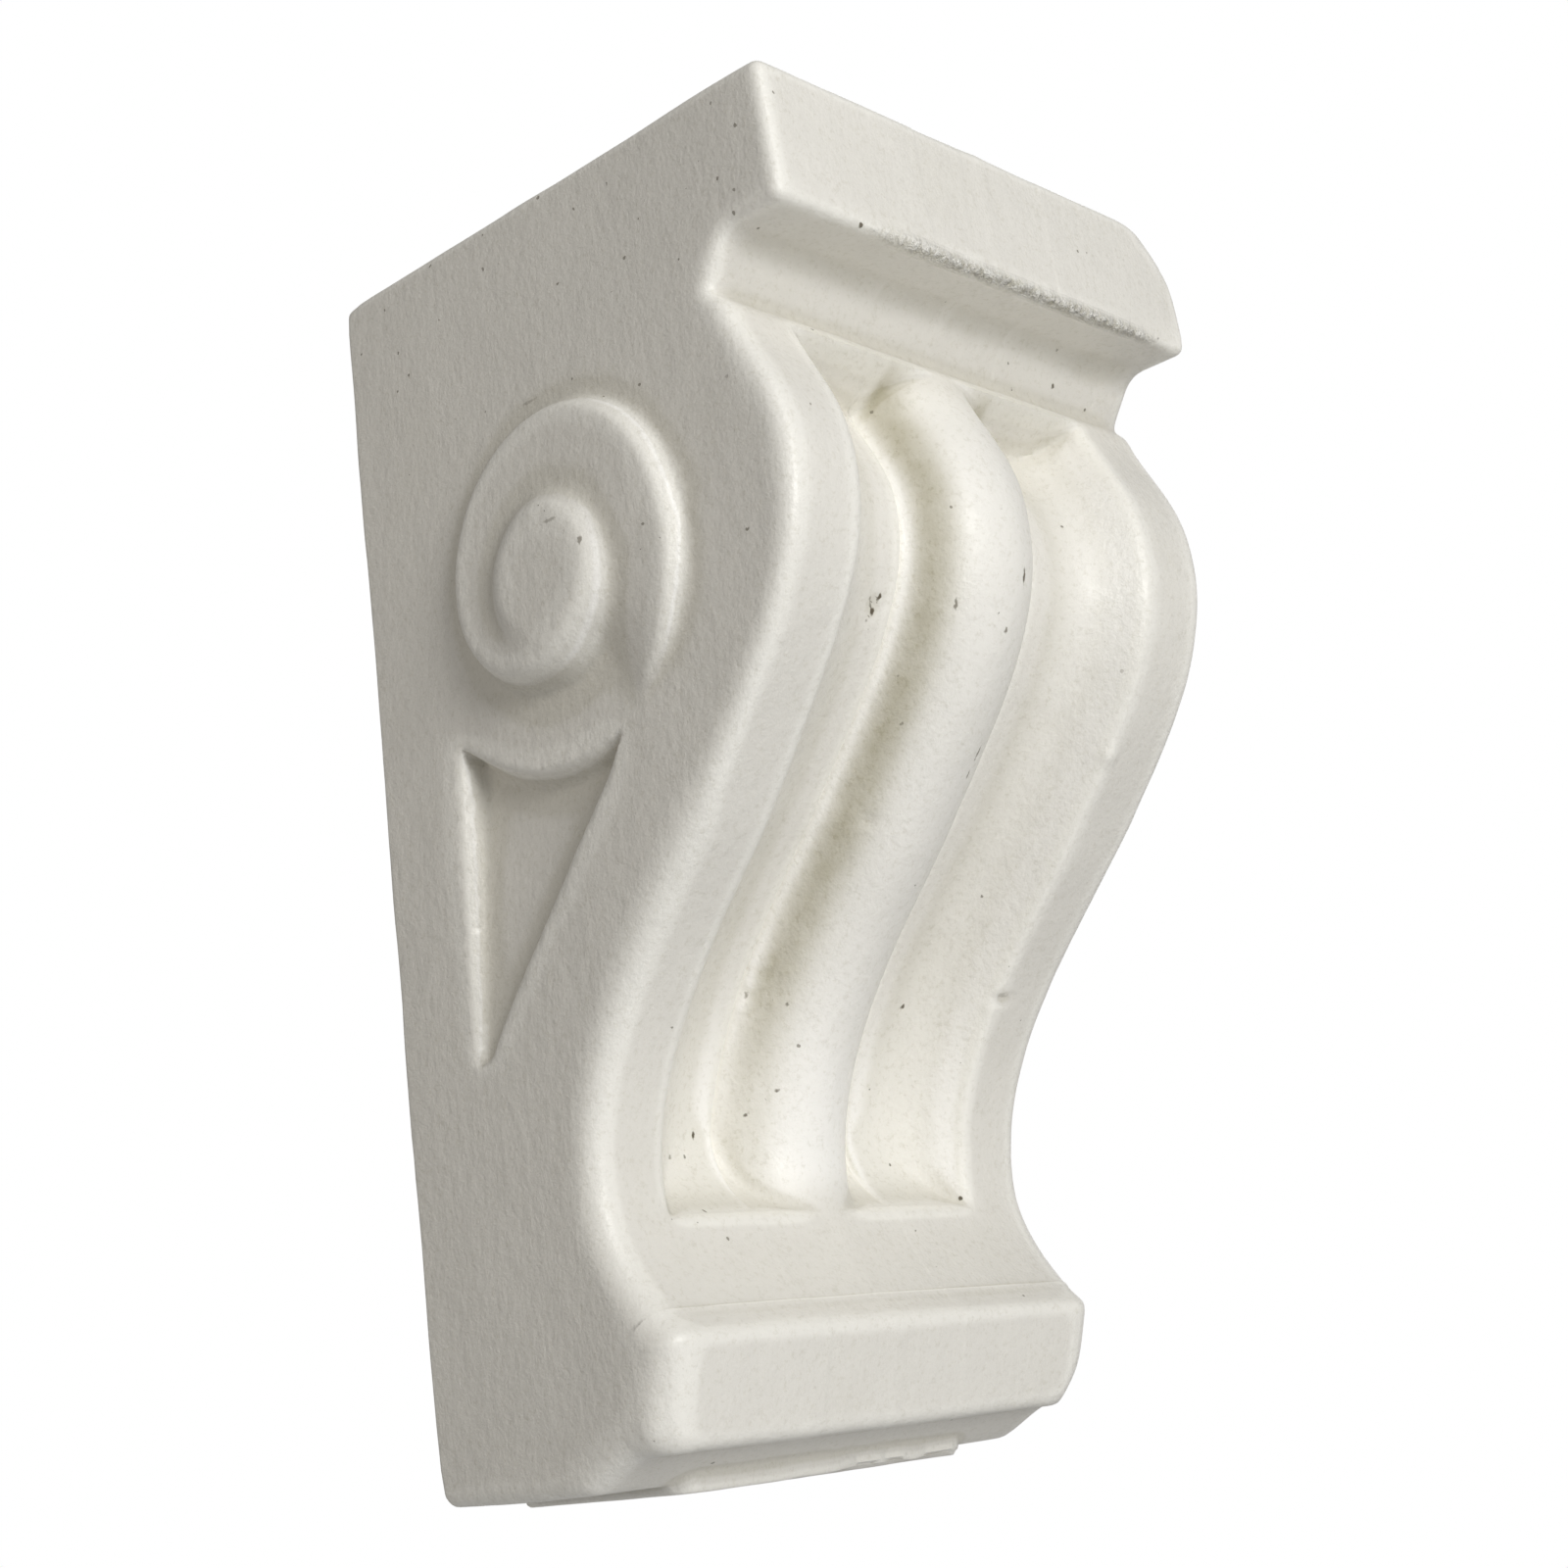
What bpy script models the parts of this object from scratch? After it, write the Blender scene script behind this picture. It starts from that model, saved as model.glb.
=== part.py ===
"""Scroll corbel, one solid casting.

The back lies on the plane Y = 0 and faces +Y, the front faces -Y and the width runs along X. The origin is the
middle of the back. A ring of side stations runs round the casting from the back of the top over the front to the
back of the underside. Rows of points across the width join the stations, and a flat side with its scroll and
sunk wedge closes each end. All sizes are in metres.
"""
import math

import bmesh
import bpy
from mathutils import Vector
from mathutils.geometry import delaunay_2d_cdt

# Overall sizes
HEIGHT = 0.150
TOP_WIDTH = 0.077
BOTTOM_WIDTH = 0.075
PROJECTION = 0.0762

# Top slab and the neck under it
SLAB_HEIGHT = 0.017
SLAB_RAKE = 0.0009
SLAB_ARRIS = 0.0012
SLAB_OVERHANG = 0.0088
NECK_HEIGHT = 0.0082
NECK_SLOPE = 0.0037

# Curved shaft: levels as parts of the height, faces as parts of the projection
BELLY_LEVEL = 0.693
BELLY_FACE = 0.959
MIDDLE_LEVEL = 0.466
MIDDLE_FACE = 0.710
WAIST_LEVEL = 0.2225
WAIST_FACE = 0.417
FOOT_LEVEL = 0.120
FOOT_FACE = 0.506
SHAFT_ARRIS = 0.0030

# Bottom block and the thin plate under it; the sloping underside runs between two shares of the projection
BLOCK_TOP = 0.0157
BLOCK_LEDGE = 0.00274
BLOCK_RAKE = 0.0025
BLOCK_UNDERSIDE = 0.0035
BLOCK_ARRIS = 0.0036
UNDERSIDE_FRONT = 0.428
UNDERSIDE_BACK = 0.328
PLATE_FRONT = 0.0276
PLATE_DEPTH = 0.0011
PLATE_WIDTH = 0.0500
PLATE_SIDE = 0.0006

# Flutes and the roll between them
FLUTE_REACH = 0.0274
FLUTE_ARRIS = 0.0017
COVE_RADIUS = 0.0117
COVE_TURN = math.radians(50.0)
ROLL_RADIUS = 0.0100
ROLL_TURN = math.radians(60.0)
ROLL_FOOT_RADIUS = 0.0054
ROLL_FOOT_TURN = math.radians(20.0)
FLUTE_TOP_LEVEL = 0.828
FLUTE_TOP_RUN = 0.0008
FLUTE_FOOT_LEVEL = 0.193
FLUTE_FOOT_RUN = 0.0100
FLUTE_FOOT_BOW = 1.8

# Scroll: its centre as shares of the projection and the height, its size at the stem, and its rise above the
# side. Reach and rise at turns counted from the stem are shares of the size and of the eye's rise.
SCROLL_PLACE = 0.479
SCROLL_LEVEL = 0.677
SCROLL_SIZE = 0.0210
SCROLL_STEP = 0.0032
SCROLL_EYE_RISE = 0.0044
SCROLL_REACH = ((0.0, 1.0), (0.17, 0.976), (0.42, 1.019), (0.67, 0.833), (0.92, 0.581),
                (1.17, 0.495), (1.42, 0.490), (1.67, 0.448), (1.95, 0.410))
SCROLL_RISE = ((0.0, 0.0), (0.17, 0.52), (0.42, 0.57), (0.67, 0.68), (0.85, 0.95), (0.92, 1.0), (1.0, 1.0))
SCROLL_END = 1.86

# Sunk wedge under the scroll
WEDGE_DEPTH = 0.0030
WEDGE_TIP_DEPTH = 0.0016
WEDGE_WALL = 0.0010
WEDGE_TIP_LEVEL = 0.323
WEDGE_BACK = 0.0143
WEDGE_STEM_TURN = -0.028
WEDGE_STEM_REACH = 0.985
WEDGE_BACK_TURN = -0.238
WEDGE_BACK_REACH = 1.224

# Plaster finish: off-white, matte
PLASTER_COLOUR = (0.80, 0.77, 0.72, 1.0)
PLASTER_ROUGHNESS = 0.6


def bezier(start, start_way, start_pull, end, end_way, end_pull, count):
    """Points along one cubic curve between two places with given directions, without the last place."""
    first = Vector(start) + Vector(start_way).normalized() * start_pull
    second = Vector(end) - Vector(end_way).normalized() * end_pull
    points = []
    for index in range(count):
        t = index / count
        s = 1.0 - t
        point = Vector(start) * s**3 + first * (3.0 * s * s * t) + second * (3.0 * s * t * t) + Vector(end) * t**3
        points.append((point.x, point.y))
    return points


def corner(before, place, after, radius, count=3):
    """Points of a rounded corner, tangent to the two sides at the given distance from the corner."""
    here = Vector(place)
    first = here + (Vector(before) - here).normalized() * radius
    last = here + (Vector(after) - here).normalized() * radius
    points = []
    for index in range(count + 1):
        t = index / count
        point = first * (1.0 - t)**2 + here * (2.0 * t * (1.0 - t)) + last * t * t
        points.append((point.x, point.y))
    return points


def spread(start, end, count):
    """Points along a straight line, without either end."""
    points = []
    for index in range(1, count):
        t = index / count
        points.append((start[0] + (end[0] - start[0]) * t, start[1] + (end[1] - start[1]) * t))
    return points


def side_stations():
    """Stations round the casting as (y, z, arris radius), with z counted up from the bottom."""
    slab_low = HEIGHT - SLAB_HEIGHT
    slab_top_y = -(PROJECTION - SLAB_RAKE)
    neck_y = -(PROJECTION - SLAB_OVERHANG)
    neck_low = (neck_y + NECK_SLOPE, slab_low - 0.0065)
    shaft_top = (neck_y + 0.0015, slab_low - NECK_HEIGHT)
    belly = (-PROJECTION * BELLY_FACE, HEIGHT * BELLY_LEVEL)
    middle = (-PROJECTION * MIDDLE_FACE, HEIGHT * MIDDLE_LEVEL)
    waist = (-PROJECTION * WAIST_FACE, HEIGHT * WAIST_LEVEL)
    foot = (-PROJECTION * FOOT_FACE, HEIGHT * FOOT_LEVEL)
    block_face = PROJECTION * FOOT_FACE + BLOCK_LEDGE
    block_back = -(block_face - BLOCK_RAKE)

    stations = []

    def add(points, arris):
        for y, z in points:
            stations.append((y, z, arris))

    back_top = (0.0, HEIGHT)
    front_top = (slab_top_y, HEIGHT)
    front_low = (-PROJECTION, slab_low)
    under_back = (neck_y, slab_low)
    add([back_top], 0.0006)
    add(spread(back_top, front_top, 4), 0.0008)
    add(corner(back_top, front_top, front_low, 0.0014), SLAB_ARRIS)
    add(spread(front_top, front_low, 5), SLAB_ARRIS)
    add(corner(front_top, front_low, under_back, 0.0016), SLAB_ARRIS)
    add(spread(front_low, under_back, 3), SLAB_ARRIS)
    add([under_back, (neck_y + 0.0021, slab_low - 0.0027), (neck_y + 0.0034, slab_low - 0.0052)], SLAB_ARRIS)
    add([neck_low], 0.0018)
    pull = HEIGHT / 0.150
    add(bezier(shaft_top, (-0.39, -1.0), 0.0087 * pull, belly, (0.0, -1.0), 0.0096 * pull, 14), SHAFT_ARRIS)
    add(bezier(belly, (0.0, -1.0), 0.0127 * pull, middle, (0.82, -1.0), 0.0154 * pull, 16), SHAFT_ARRIS)
    add(bezier(middle, (0.82, -1.0), 0.0082 * pull, waist, (0.0, -1.0), 0.0154 * pull, 18), SHAFT_ARRIS)
    add(bezier(waist, (0.0, -1.0), 0.0068 * pull, foot, (-0.76, -1.0), 0.0066 * pull, 9), SHAFT_ARRIS)
    block_arris = (-block_face, BLOCK_TOP)
    block_low = (block_back + 0.0008, BLOCK_UNDERSIDE)
    under_front = (-PROJECTION * UNDERSIDE_FRONT, BLOCK_UNDERSIDE)
    add([foot], 0.0033)
    add(corner(foot, block_arris, block_low, 0.0009), BLOCK_ARRIS)
    add(spread(block_arris, block_low, 4), BLOCK_ARRIS)
    add(corner(block_arris, block_low, under_front, 0.0018), BLOCK_ARRIS)
    add([under_front], 0.0030)
    drop = (-PROJECTION * UNDERSIDE_BACK, 0.0)
    add(bezier(under_front, (1.0, -0.25), 0.0030, drop, (1.0, -0.30), 0.0020, 5)[1:], 0.0024)
    add([drop], 0.0018)
    add(spread(drop, (0.0, 0.0), 4), 0.0010)
    add([(0.0, 0.0)], 0.0006)
    return stations


def plate_place(y, z):
    """Place of an underside station inside the plate, which hangs below the block."""
    if z > BLOCK_UNDERSIDE * 0.75 or y > 0.0:
        return (y, z)
    if y < -PLATE_FRONT:
        return (max(y, -PLATE_FRONT - 0.0004), z)
    return (y, -PLATE_DEPTH)


def station_ways(stations):
    """Direction from each station into the casting, evened out so that the rounded edges never fold."""
    count = len(stations)
    raw = []
    for index in range(count):
        y0, z0, _ = stations[index - 1]
        y1, z1, _ = stations[(index + 1) % count]
        way = Vector((z1 - z0, -(y1 - y0)))
        raw.append(way.normalized())
    ways = []
    for index in range(count):
        y, z, arris = stations[index]
        total = Vector((0.0, 0.0))
        for other in range(count):
            oy, oz, _ = stations[other]
            distance = math.hypot(oy - y, oz - z)
            if distance > 4.0 * arris:
                continue
            step = Vector(stations[(other + 1) % count][:2]) - Vector(stations[other - 1][:2])
            total += raw[other] * step.length * math.exp(-(distance / (1.1 * arris))**2)
        total = -total
        if abs(total.x) + abs(total.y) < 1e-12:
            total = -raw[index]
        ways.append(total.normalized())
    return ways


def half_width(z):
    """Half of the width at a level, a straight taper from top to bottom."""
    return 0.5 * (BOTTOM_WIDTH + (TOP_WIDTH - BOTTOM_WIDTH) * z / HEIGHT)


def flute_shape():
    """Valley place and depth of the flutes, which follow from the roll and its foot."""
    spread_out = ROLL_FOOT_RADIUS * (math.sin(ROLL_TURN) - math.sin(ROLL_FOOT_TURN))
    drop = ROLL_FOOT_RADIUS * (math.cos(ROLL_FOOT_TURN) - math.cos(ROLL_TURN))
    valley = ROLL_RADIUS * math.sin(ROLL_TURN) + spread_out
    depth = ROLL_RADIUS * (1.0 - math.cos(ROLL_TURN)) + drop
    return valley, depth


def wall_shape():
    """Places where the flute's outer wall leaves its rounded arris and meets its cove, as (x, depth) pairs."""
    _, depth = flute_shape()
    high_depth = FLUTE_ARRIS * (1.0 - math.cos(COVE_TURN))
    high = (FLUTE_REACH - FLUTE_ARRIS * math.sin(COVE_TURN), high_depth)
    low_depth = depth - COVE_RADIUS * (1.0 - math.cos(COVE_TURN))
    low = (high[0] - (low_depth - high_depth) / math.tan(COVE_TURN), low_depth)
    return high, low


def channel_depth(x):
    """Depth across the front: a round roll with a hollow foot, a flat valley, a cove, a wall and its arris."""
    reach = abs(x)
    valley, depth = flute_shape()
    high, low = wall_shape()
    cove = low[0] - COVE_RADIUS * math.sin(COVE_TURN)
    roll_edge = ROLL_RADIUS * math.sin(ROLL_TURN)
    if reach >= FLUTE_REACH:
        return 0.0
    if reach >= high[0]:
        return FLUTE_ARRIS - math.sqrt(FLUTE_ARRIS**2 - (FLUTE_REACH - reach)**2)
    if reach >= low[0]:
        return high[1] + (high[0] - reach) * math.tan(COVE_TURN)
    if reach >= cove:
        return depth - COVE_RADIUS + math.sqrt(COVE_RADIUS**2 - (reach - cove)**2)
    if reach >= valley:
        return depth
    if reach >= roll_edge:
        sine = math.sin(ROLL_TURN) - (reach - roll_edge) / ROLL_FOOT_RADIUS
        cosine = math.sqrt(1.0 - sine * sine)
        return ROLL_RADIUS * (1.0 - math.cos(ROLL_TURN)) + ROLL_FOOT_RADIUS * (cosine - math.cos(ROLL_TURN))
    return ROLL_RADIUS - math.sqrt(ROLL_RADIUS**2 - reach * reach)


def flute_depth(x, z):
    """Depth of the flutes at a place on the front, cut off by an end wall at the top and a bowed ramp below."""
    _, depth = flute_shape()
    top = (HEIGHT * FLUTE_TOP_LEVEL - z) / FLUTE_TOP_RUN * depth
    climb = min(1.0, max(0.0, (z - HEIGHT * FLUTE_FOOT_LEVEL) / FLUTE_FOOT_RUN))
    foot = depth * (1.0 - (1.0 - climb)**FLUTE_FOOT_BOW)
    return max(0.0, min(channel_depth(x), top, foot))


def along(table, turn):
    """Value at a turn, passing smoothly through the named places of the table."""
    if turn <= table[0][0]:
        return table[0][1]
    for (t0, v0), (t1, v1) in zip(table, table[1:]):
        if turn <= t1:
            part = (turn - t0) / (t1 - t0)
            return v0 + (v1 - v0) * part
    return table[-1][1]


def scroll_reach(turn):
    """Distance from the scroll's centre to the foot of its step at a turn."""
    return along(SCROLL_REACH, turn) * SCROLL_SIZE


def scroll_place(y, z):
    """Distance from the scroll's centre and turn counted from the stem."""
    across = -(y + SCROLL_PLACE * PROJECTION)
    up = z - HEIGHT * SCROLL_LEVEL
    turn = (math.degrees(math.atan2(up, across)) + 60.0) / 360.0
    return math.hypot(across, up), turn % 1.0


def scroll_point(reach, turn):
    """Side place at a distance from the scroll's centre and a turn from the stem."""
    angle = math.radians(turn * 360.0 - 60.0)
    y = -SCROLL_PLACE * PROJECTION - reach * math.cos(angle)
    z = HEIGHT * SCROLL_LEVEL + reach * math.sin(angle)
    return (y, z)


def quarter_round(part):
    """Rise of a quarter round, from 0 at its foot to 1 at its crest."""
    part = min(1.0, max(0.0, part))
    return math.sqrt(1.0 - (1.0 - part)**2)


def scroll_rise(y, z):
    """Height of the scroll above the side: a ramping ring with a raised eye inside it."""
    reach, turn = scroll_place(y, z)
    outer = scroll_reach(turn)
    if reach >= outer - 1e-7:
        return 0.0
    ring = along(SCROLL_RISE, turn) * SCROLL_EYE_RISE
    rise = ring * quarter_round((outer - reach) / SCROLL_STEP)
    inner = scroll_reach(turn + 1.0)
    if turn + 1.0 <= SCROLL_END and reach < inner - 1e-7:
        rise = ring + (SCROLL_EYE_RISE - ring) * quarter_round((inner - reach) / SCROLL_STEP)
    return rise


def wedge_outline():
    """Outline of the sunk wedge: an arc round the scroll, a bowed front edge, the tip and the back edge."""
    points = []
    for index in range(11):
        part = index / 10.0
        turn = WEDGE_BACK_TURN + (WEDGE_STEM_TURN - WEDGE_BACK_TURN) * part
        reach = WEDGE_BACK_REACH + (WEDGE_STEM_REACH - WEDGE_BACK_REACH) * part**0.75
        points.append(scroll_point(reach * SCROLL_SIZE, turn))
    stem = points[-1]
    tip = (-WEDGE_BACK, HEIGHT * WEDGE_TIP_LEVEL)
    low = (tip[0] - 0.0022, tip[1] + 0.0009)
    points.extend(bezier(stem, (0.62, -1.0), 0.010, low, (0.62, -1.0), 0.010, 9)[1:])
    points.append(low)
    points.append(tip)
    points.append((tip[0] + 0.0005, tip[1] + 0.0012))
    top = points[0]
    start = points[-1]
    points.extend(spread(start, top, 5))
    return points


def shrunk(points, wall):
    """A closed outline moved inward by a wall's width."""
    count = len(points)
    area = 0.0
    for index in range(count):
        y0, z0 = points[index - 1]
        y1, z1 = points[index]
        area += y0 * z1 - y1 * z0
    turn = 1.0 if area > 0.0 else -1.0
    result = []
    for index in range(count):
        here = Vector(points[index])
        before = (here - Vector(points[index - 1])).normalized()
        after = (Vector(points[(index + 1) % count]) - here).normalized()
        normal_before = Vector((-before.y, before.x)) * turn
        normal_after = Vector((-after.y, after.x)) * turn
        way = normal_before + normal_after
        way = way.normalized()
        scale = max(0.45, way.dot(normal_after))
        place = here + way * (wall / scale)
        result.append((place.x, place.y))
    return result


def wedge_drop(z):
    """Depth of the wedge's floor at a level, deepest under the scroll."""
    low = HEIGHT * WEDGE_TIP_LEVEL
    high = HEIGHT * SCROLL_LEVEL - 0.89 * SCROLL_SIZE
    part = min(1.0, max(0.0, (z - low) / (high - low)))
    return WEDGE_TIP_DEPTH + (WEDGE_DEPTH - WEDGE_TIP_DEPTH) * part


def column_places(z, arris):
    """Places across half of a row, as (x, depth from the rounded edge), from the middle to the side."""
    valley, _ = flute_shape()
    high, low = wall_shape()
    cove = low[0] - COVE_RADIUS * math.sin(COVE_TURN)
    roll_edge = ROLL_RADIUS * math.sin(ROLL_TURN)
    places = [roll_edge * part for part in (0.0, 0.22, 0.44, 0.64, 0.82, 1.0)]
    places.extend([roll_edge + (valley - roll_edge) * part for part in (0.35, 1.0)])
    places.extend([cove + (low[0] - cove) * part for part in (0.0, 0.3, 0.6, 0.82, 1.0)])
    places.extend([high[0], 0.5 * (high[0] + FLUTE_REACH), FLUTE_REACH])
    half_plate = PLATE_WIDTH * 0.5
    places.extend([half_plate, half_plate + PLATE_SIDE])
    edge = half_width(z)
    result = [(x, 0.0) for x in sorted(places)]
    for index in range(4):
        angle = math.radians(90.0) * index / 3.0
        result.append((edge - arris * (1.0 - math.sin(angle)), arris * (1.0 - math.cos(angle))))
    return result


def build_mesh():
    """The whole casting as one closed mesh."""
    mesh = bmesh.new()
    stations = side_stations()
    ways = station_ways(stations)
    half_plate = PLATE_WIDTH * 0.5 + 1e-6
    rows = []
    for (y, z, arris), way in zip(stations, ways):
        half_row = column_places(z, arris)
        signed = [(-x, depth, -1) for x, depth in reversed(half_row[1:])]
        signed.extend([(x, depth, 1) for x, depth in half_row])
        in_shaft = HEIGHT * FLUTE_FOOT_LEVEL < z < HEIGHT * FLUTE_TOP_LEVEL and y < -0.02
        row = []
        for x, depth, _ in signed:
            py = y
            pz = z
            if y > -0.031 and z < 0.02 and abs(x) <= half_plate:
                py, pz = plate_place(y, z)
            if in_shaft:
                depth = max(depth, flute_depth(x, z))
            py += way.x * depth
            pz += way.y * depth
            row.append(mesh.verts.new((x, py, pz - 0.5 * HEIGHT)))
        rows.append(row)
    count = len(rows)
    for index in range(count):
        row = rows[index]
        after = rows[(index + 1) % count]
        for column in range(len(row) - 1):
            mesh.faces.new((row[column], row[column + 1], after[column + 1], after[column]))
    for side in (-1, 1):
        close_side(mesh, [row[0] if side < 0 else row[-1] for row in rows], side)
    for vert in mesh.verts:
        level = vert.co.z + 0.5 * HEIGHT
        edge = half_width(level)
        if abs(abs(vert.co.x) - edge) < 1e-5:
            vert.co.x = math.copysign(edge, vert.co.x)
    bmesh.ops.triangulate(mesh, faces=mesh.faces[:])
    bmesh.ops.recalc_face_normals(mesh, faces=mesh.faces[:])
    return mesh


def close_side(mesh, ring, side):
    """One flat side with its scroll and wedge, sewn to the ring of end points."""
    points = [(vert.co.y, vert.co.z + 0.5 * HEIGHT) for vert in ring]
    edges = [(index, (index + 1) % len(points)) for index in range(len(points))]

    def add_line(line, closed):
        first = len(points)
        points.extend(line)
        for index in range(len(line) - 1):
            edges.append((first + index, first + index + 1))
        if closed:
            edges.append((first + len(line) - 1, first))

    steps = 64
    for part in (0.0, 0.14, 0.45, 1.0):
        line = []
        for index in range(steps + 1):
            turn = 0.012 + (SCROLL_END - 0.012) * index / steps
            line.append(scroll_point(scroll_reach(turn) - part * SCROLL_STEP, turn))
        add_line(line, False)
    outline = wedge_outline()
    floor = shrunk(outline, WEDGE_WALL)
    add_line(outline, True)
    first_floor = len(points)
    add_line(floor, True)
    last_floor = len(points)
    result = delaunay_2d_cdt([Vector(point) for point in points], edges, [], 1, 1e-7)
    places, _, faces, sources = result[0], result[1], result[2], result[3]
    verts = []
    for index, place in enumerate(places):
        source = sources[index][0] if sources[index] else -1
        if 0 <= source < len(ring):
            verts.append(ring[source])
            continue
        rise = scroll_rise(place.x, place.y)
        if first_floor <= source < last_floor:
            rise = -wedge_drop(place.y)
        x = side * (half_width(place.y) + rise)
        verts.append(mesh.verts.new((x, place.x, place.y - 0.5 * HEIGHT)))
    for face in faces:
        mesh.faces.new([verts[index] for index in face])


def plaster_material():
    """Off-white cast plaster."""
    material = bpy.data.materials.new("plaster")
    material.use_nodes = True
    shader = material.node_tree.nodes["Principled BSDF"]
    shader.inputs["Base Color"].default_value = PLASTER_COLOUR
    shader.inputs["Roughness"].default_value = PLASTER_ROUGHNESS
    shader.inputs["Metallic"].default_value = 0.0
    return material


def main():
    """Clear the scene and build the corbel."""
    for item in list(bpy.data.objects):
        bpy.data.objects.remove(item, do_unlink=True)
    mesh = build_mesh()
    data = bpy.data.meshes.new("corbel")
    mesh.to_mesh(data)
    mesh.free()
    data.shade_smooth()
    data.set_sharp_from_angle(angle=math.radians(35.0))
    data.materials.append(plaster_material())
    item = bpy.data.objects.new("corbel", data)
    bpy.context.scene.collection.objects.link(item)


main()
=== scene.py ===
"""Looks of a small cast plaster corbel: one fine mesh of the worn casting, its plaster, and a plain studio.

Lengths are in metres. The frame's origin is the middle of the flat back, +Z is up, and the front faces -Y.
Inside the casting's own methods a level is counted up from the bottom of the block, and the mesh is lowered
by half of the height at the end.
"""
import logging
import math
from dataclasses import dataclass, field
from enum import Enum, IntEnum

import bpy
import numpy as np
from mathutils import Matrix, Vector
from mathutils.geometry import delaunay_2d_cdt

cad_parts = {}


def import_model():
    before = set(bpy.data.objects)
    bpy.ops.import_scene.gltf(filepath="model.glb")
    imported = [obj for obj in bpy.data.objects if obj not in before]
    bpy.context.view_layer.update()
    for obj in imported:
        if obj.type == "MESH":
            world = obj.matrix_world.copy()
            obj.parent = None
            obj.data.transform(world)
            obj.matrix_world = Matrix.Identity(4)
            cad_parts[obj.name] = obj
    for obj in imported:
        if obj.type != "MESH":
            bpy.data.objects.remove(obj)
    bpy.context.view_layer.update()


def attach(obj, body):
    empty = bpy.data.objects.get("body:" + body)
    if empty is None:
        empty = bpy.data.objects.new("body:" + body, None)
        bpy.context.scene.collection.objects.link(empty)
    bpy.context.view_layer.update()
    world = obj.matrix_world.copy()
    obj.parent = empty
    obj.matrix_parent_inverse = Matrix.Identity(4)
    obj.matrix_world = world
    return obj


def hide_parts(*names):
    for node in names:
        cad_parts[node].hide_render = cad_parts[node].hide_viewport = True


LOG = logging.getLogger("corbel")
Points = np.ndarray
Pair = tuple[float, float]

# Numbers that mix a lattice corner's place and its seed into a random value.
CELL_FACTORS = (374761393, 668265263, 1103515245)
SEED_FACTOR = 974634777
MIX_FACTOR = 1274126177
LOW_BITS = 0xFFFFFFFF
HALF_RANGE = 0x7FFFFFFF


class Side(Enum):
    """The two sides of the casting, by the sign of their X."""

    LEFT = -1
    RIGHT = 1


class Seed(IntEnum):
    """Seeds of the noises that wear the casting. A noise of several layers also takes the next numbers."""

    RUB = 5
    WAVE = 11
    RIPPLE = 23
    FINE_CRUMBS = 41
    COARSE_CRUMBS = 47
    TROWEL = 61
    PLATE = 71
    ROUGH = 83


def lattice_noise(points: Points, scale: float, seed: int) -> np.ndarray:
    """Smooth noise: random values on the corners of a cubic lattice, blended in each cell by a smoothstep.

    Args:
        points: Places as an (n, 3) array.
        scale: Edge of a lattice cell.
        seed: Number that picks the lattice's values.

    Returns:
        One value from -1 to 1 per place.
    """
    scaled = points / scale
    cell = np.floor(scaled).astype(np.int64)
    part = scaled - cell
    ease = part * part * (3.0 - 2.0 * part)
    total = np.zeros(len(points))
    for index in range(8):
        step = np.array([index & 1, (index >> 1) & 1, (index >> 2) & 1])
        place = cell + step
        mixed = (place * np.array(CELL_FACTORS)).sum(axis=1) + seed * SEED_FACTOR
        mixed &= LOW_BITS
        mixed = ((mixed ^ (mixed >> 13)) * MIX_FACTOR) & LOW_BITS
        mixed ^= mixed >> 16
        value = mixed / float(HALF_RANGE) - 1.0
        weight = np.prod(np.where(step == 1, ease, 1.0 - ease), axis=1)
        total += value * weight
    return total


def layered_noise(points: Points, scale: float, seed: int, layers: int = 3) -> np.ndarray:
    """Noise of several scales: each layer is half as large and half as strong as the one before.

    Args:
        points: Places as an (n, 3) array.
        scale: Lattice cell of the first layer.
        seed: Number that picks the lattices' values.
        layers: How many layers are added.

    Returns:
        One value per place, mostly within -1 to 1.
    """
    total = np.zeros(len(points))
    for layer in range(layers):
        total += lattice_noise(points, scale * 0.5**layer, seed + layer) * 0.5**layer
    return total / 1.5


def smoothstep(low: float, high: float, value: np.ndarray) -> np.ndarray:
    """Smooth rise from 0 at low to 1 at high: 3t^2 - 2t^3. It falls where low is the greater value."""
    part = np.clip((value - low) / (high - low), 0.0, 1.0)
    return part * part * (3.0 - 2.0 * part)


def quarter_round(part: np.ndarray) -> np.ndarray:
    """Rise of a quarter circle, steep at its foot (0) and level at its crest (1)."""
    return np.sqrt(1.0 - (1.0 - np.clip(part, 0.0, 1.0)) ** 2)


def unit(vector: Points) -> Points:
    """The vector at length 1."""
    vector = np.asarray(vector, float)
    return vector / np.linalg.norm(vector, axis=-1, keepdims=True)


def towards(here: Points, there: Points, reach: float) -> Points:
    """The place at the given reach from one place towards another."""
    return np.asarray(here, float) + unit(np.subtract(there, here)) * reach


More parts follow.
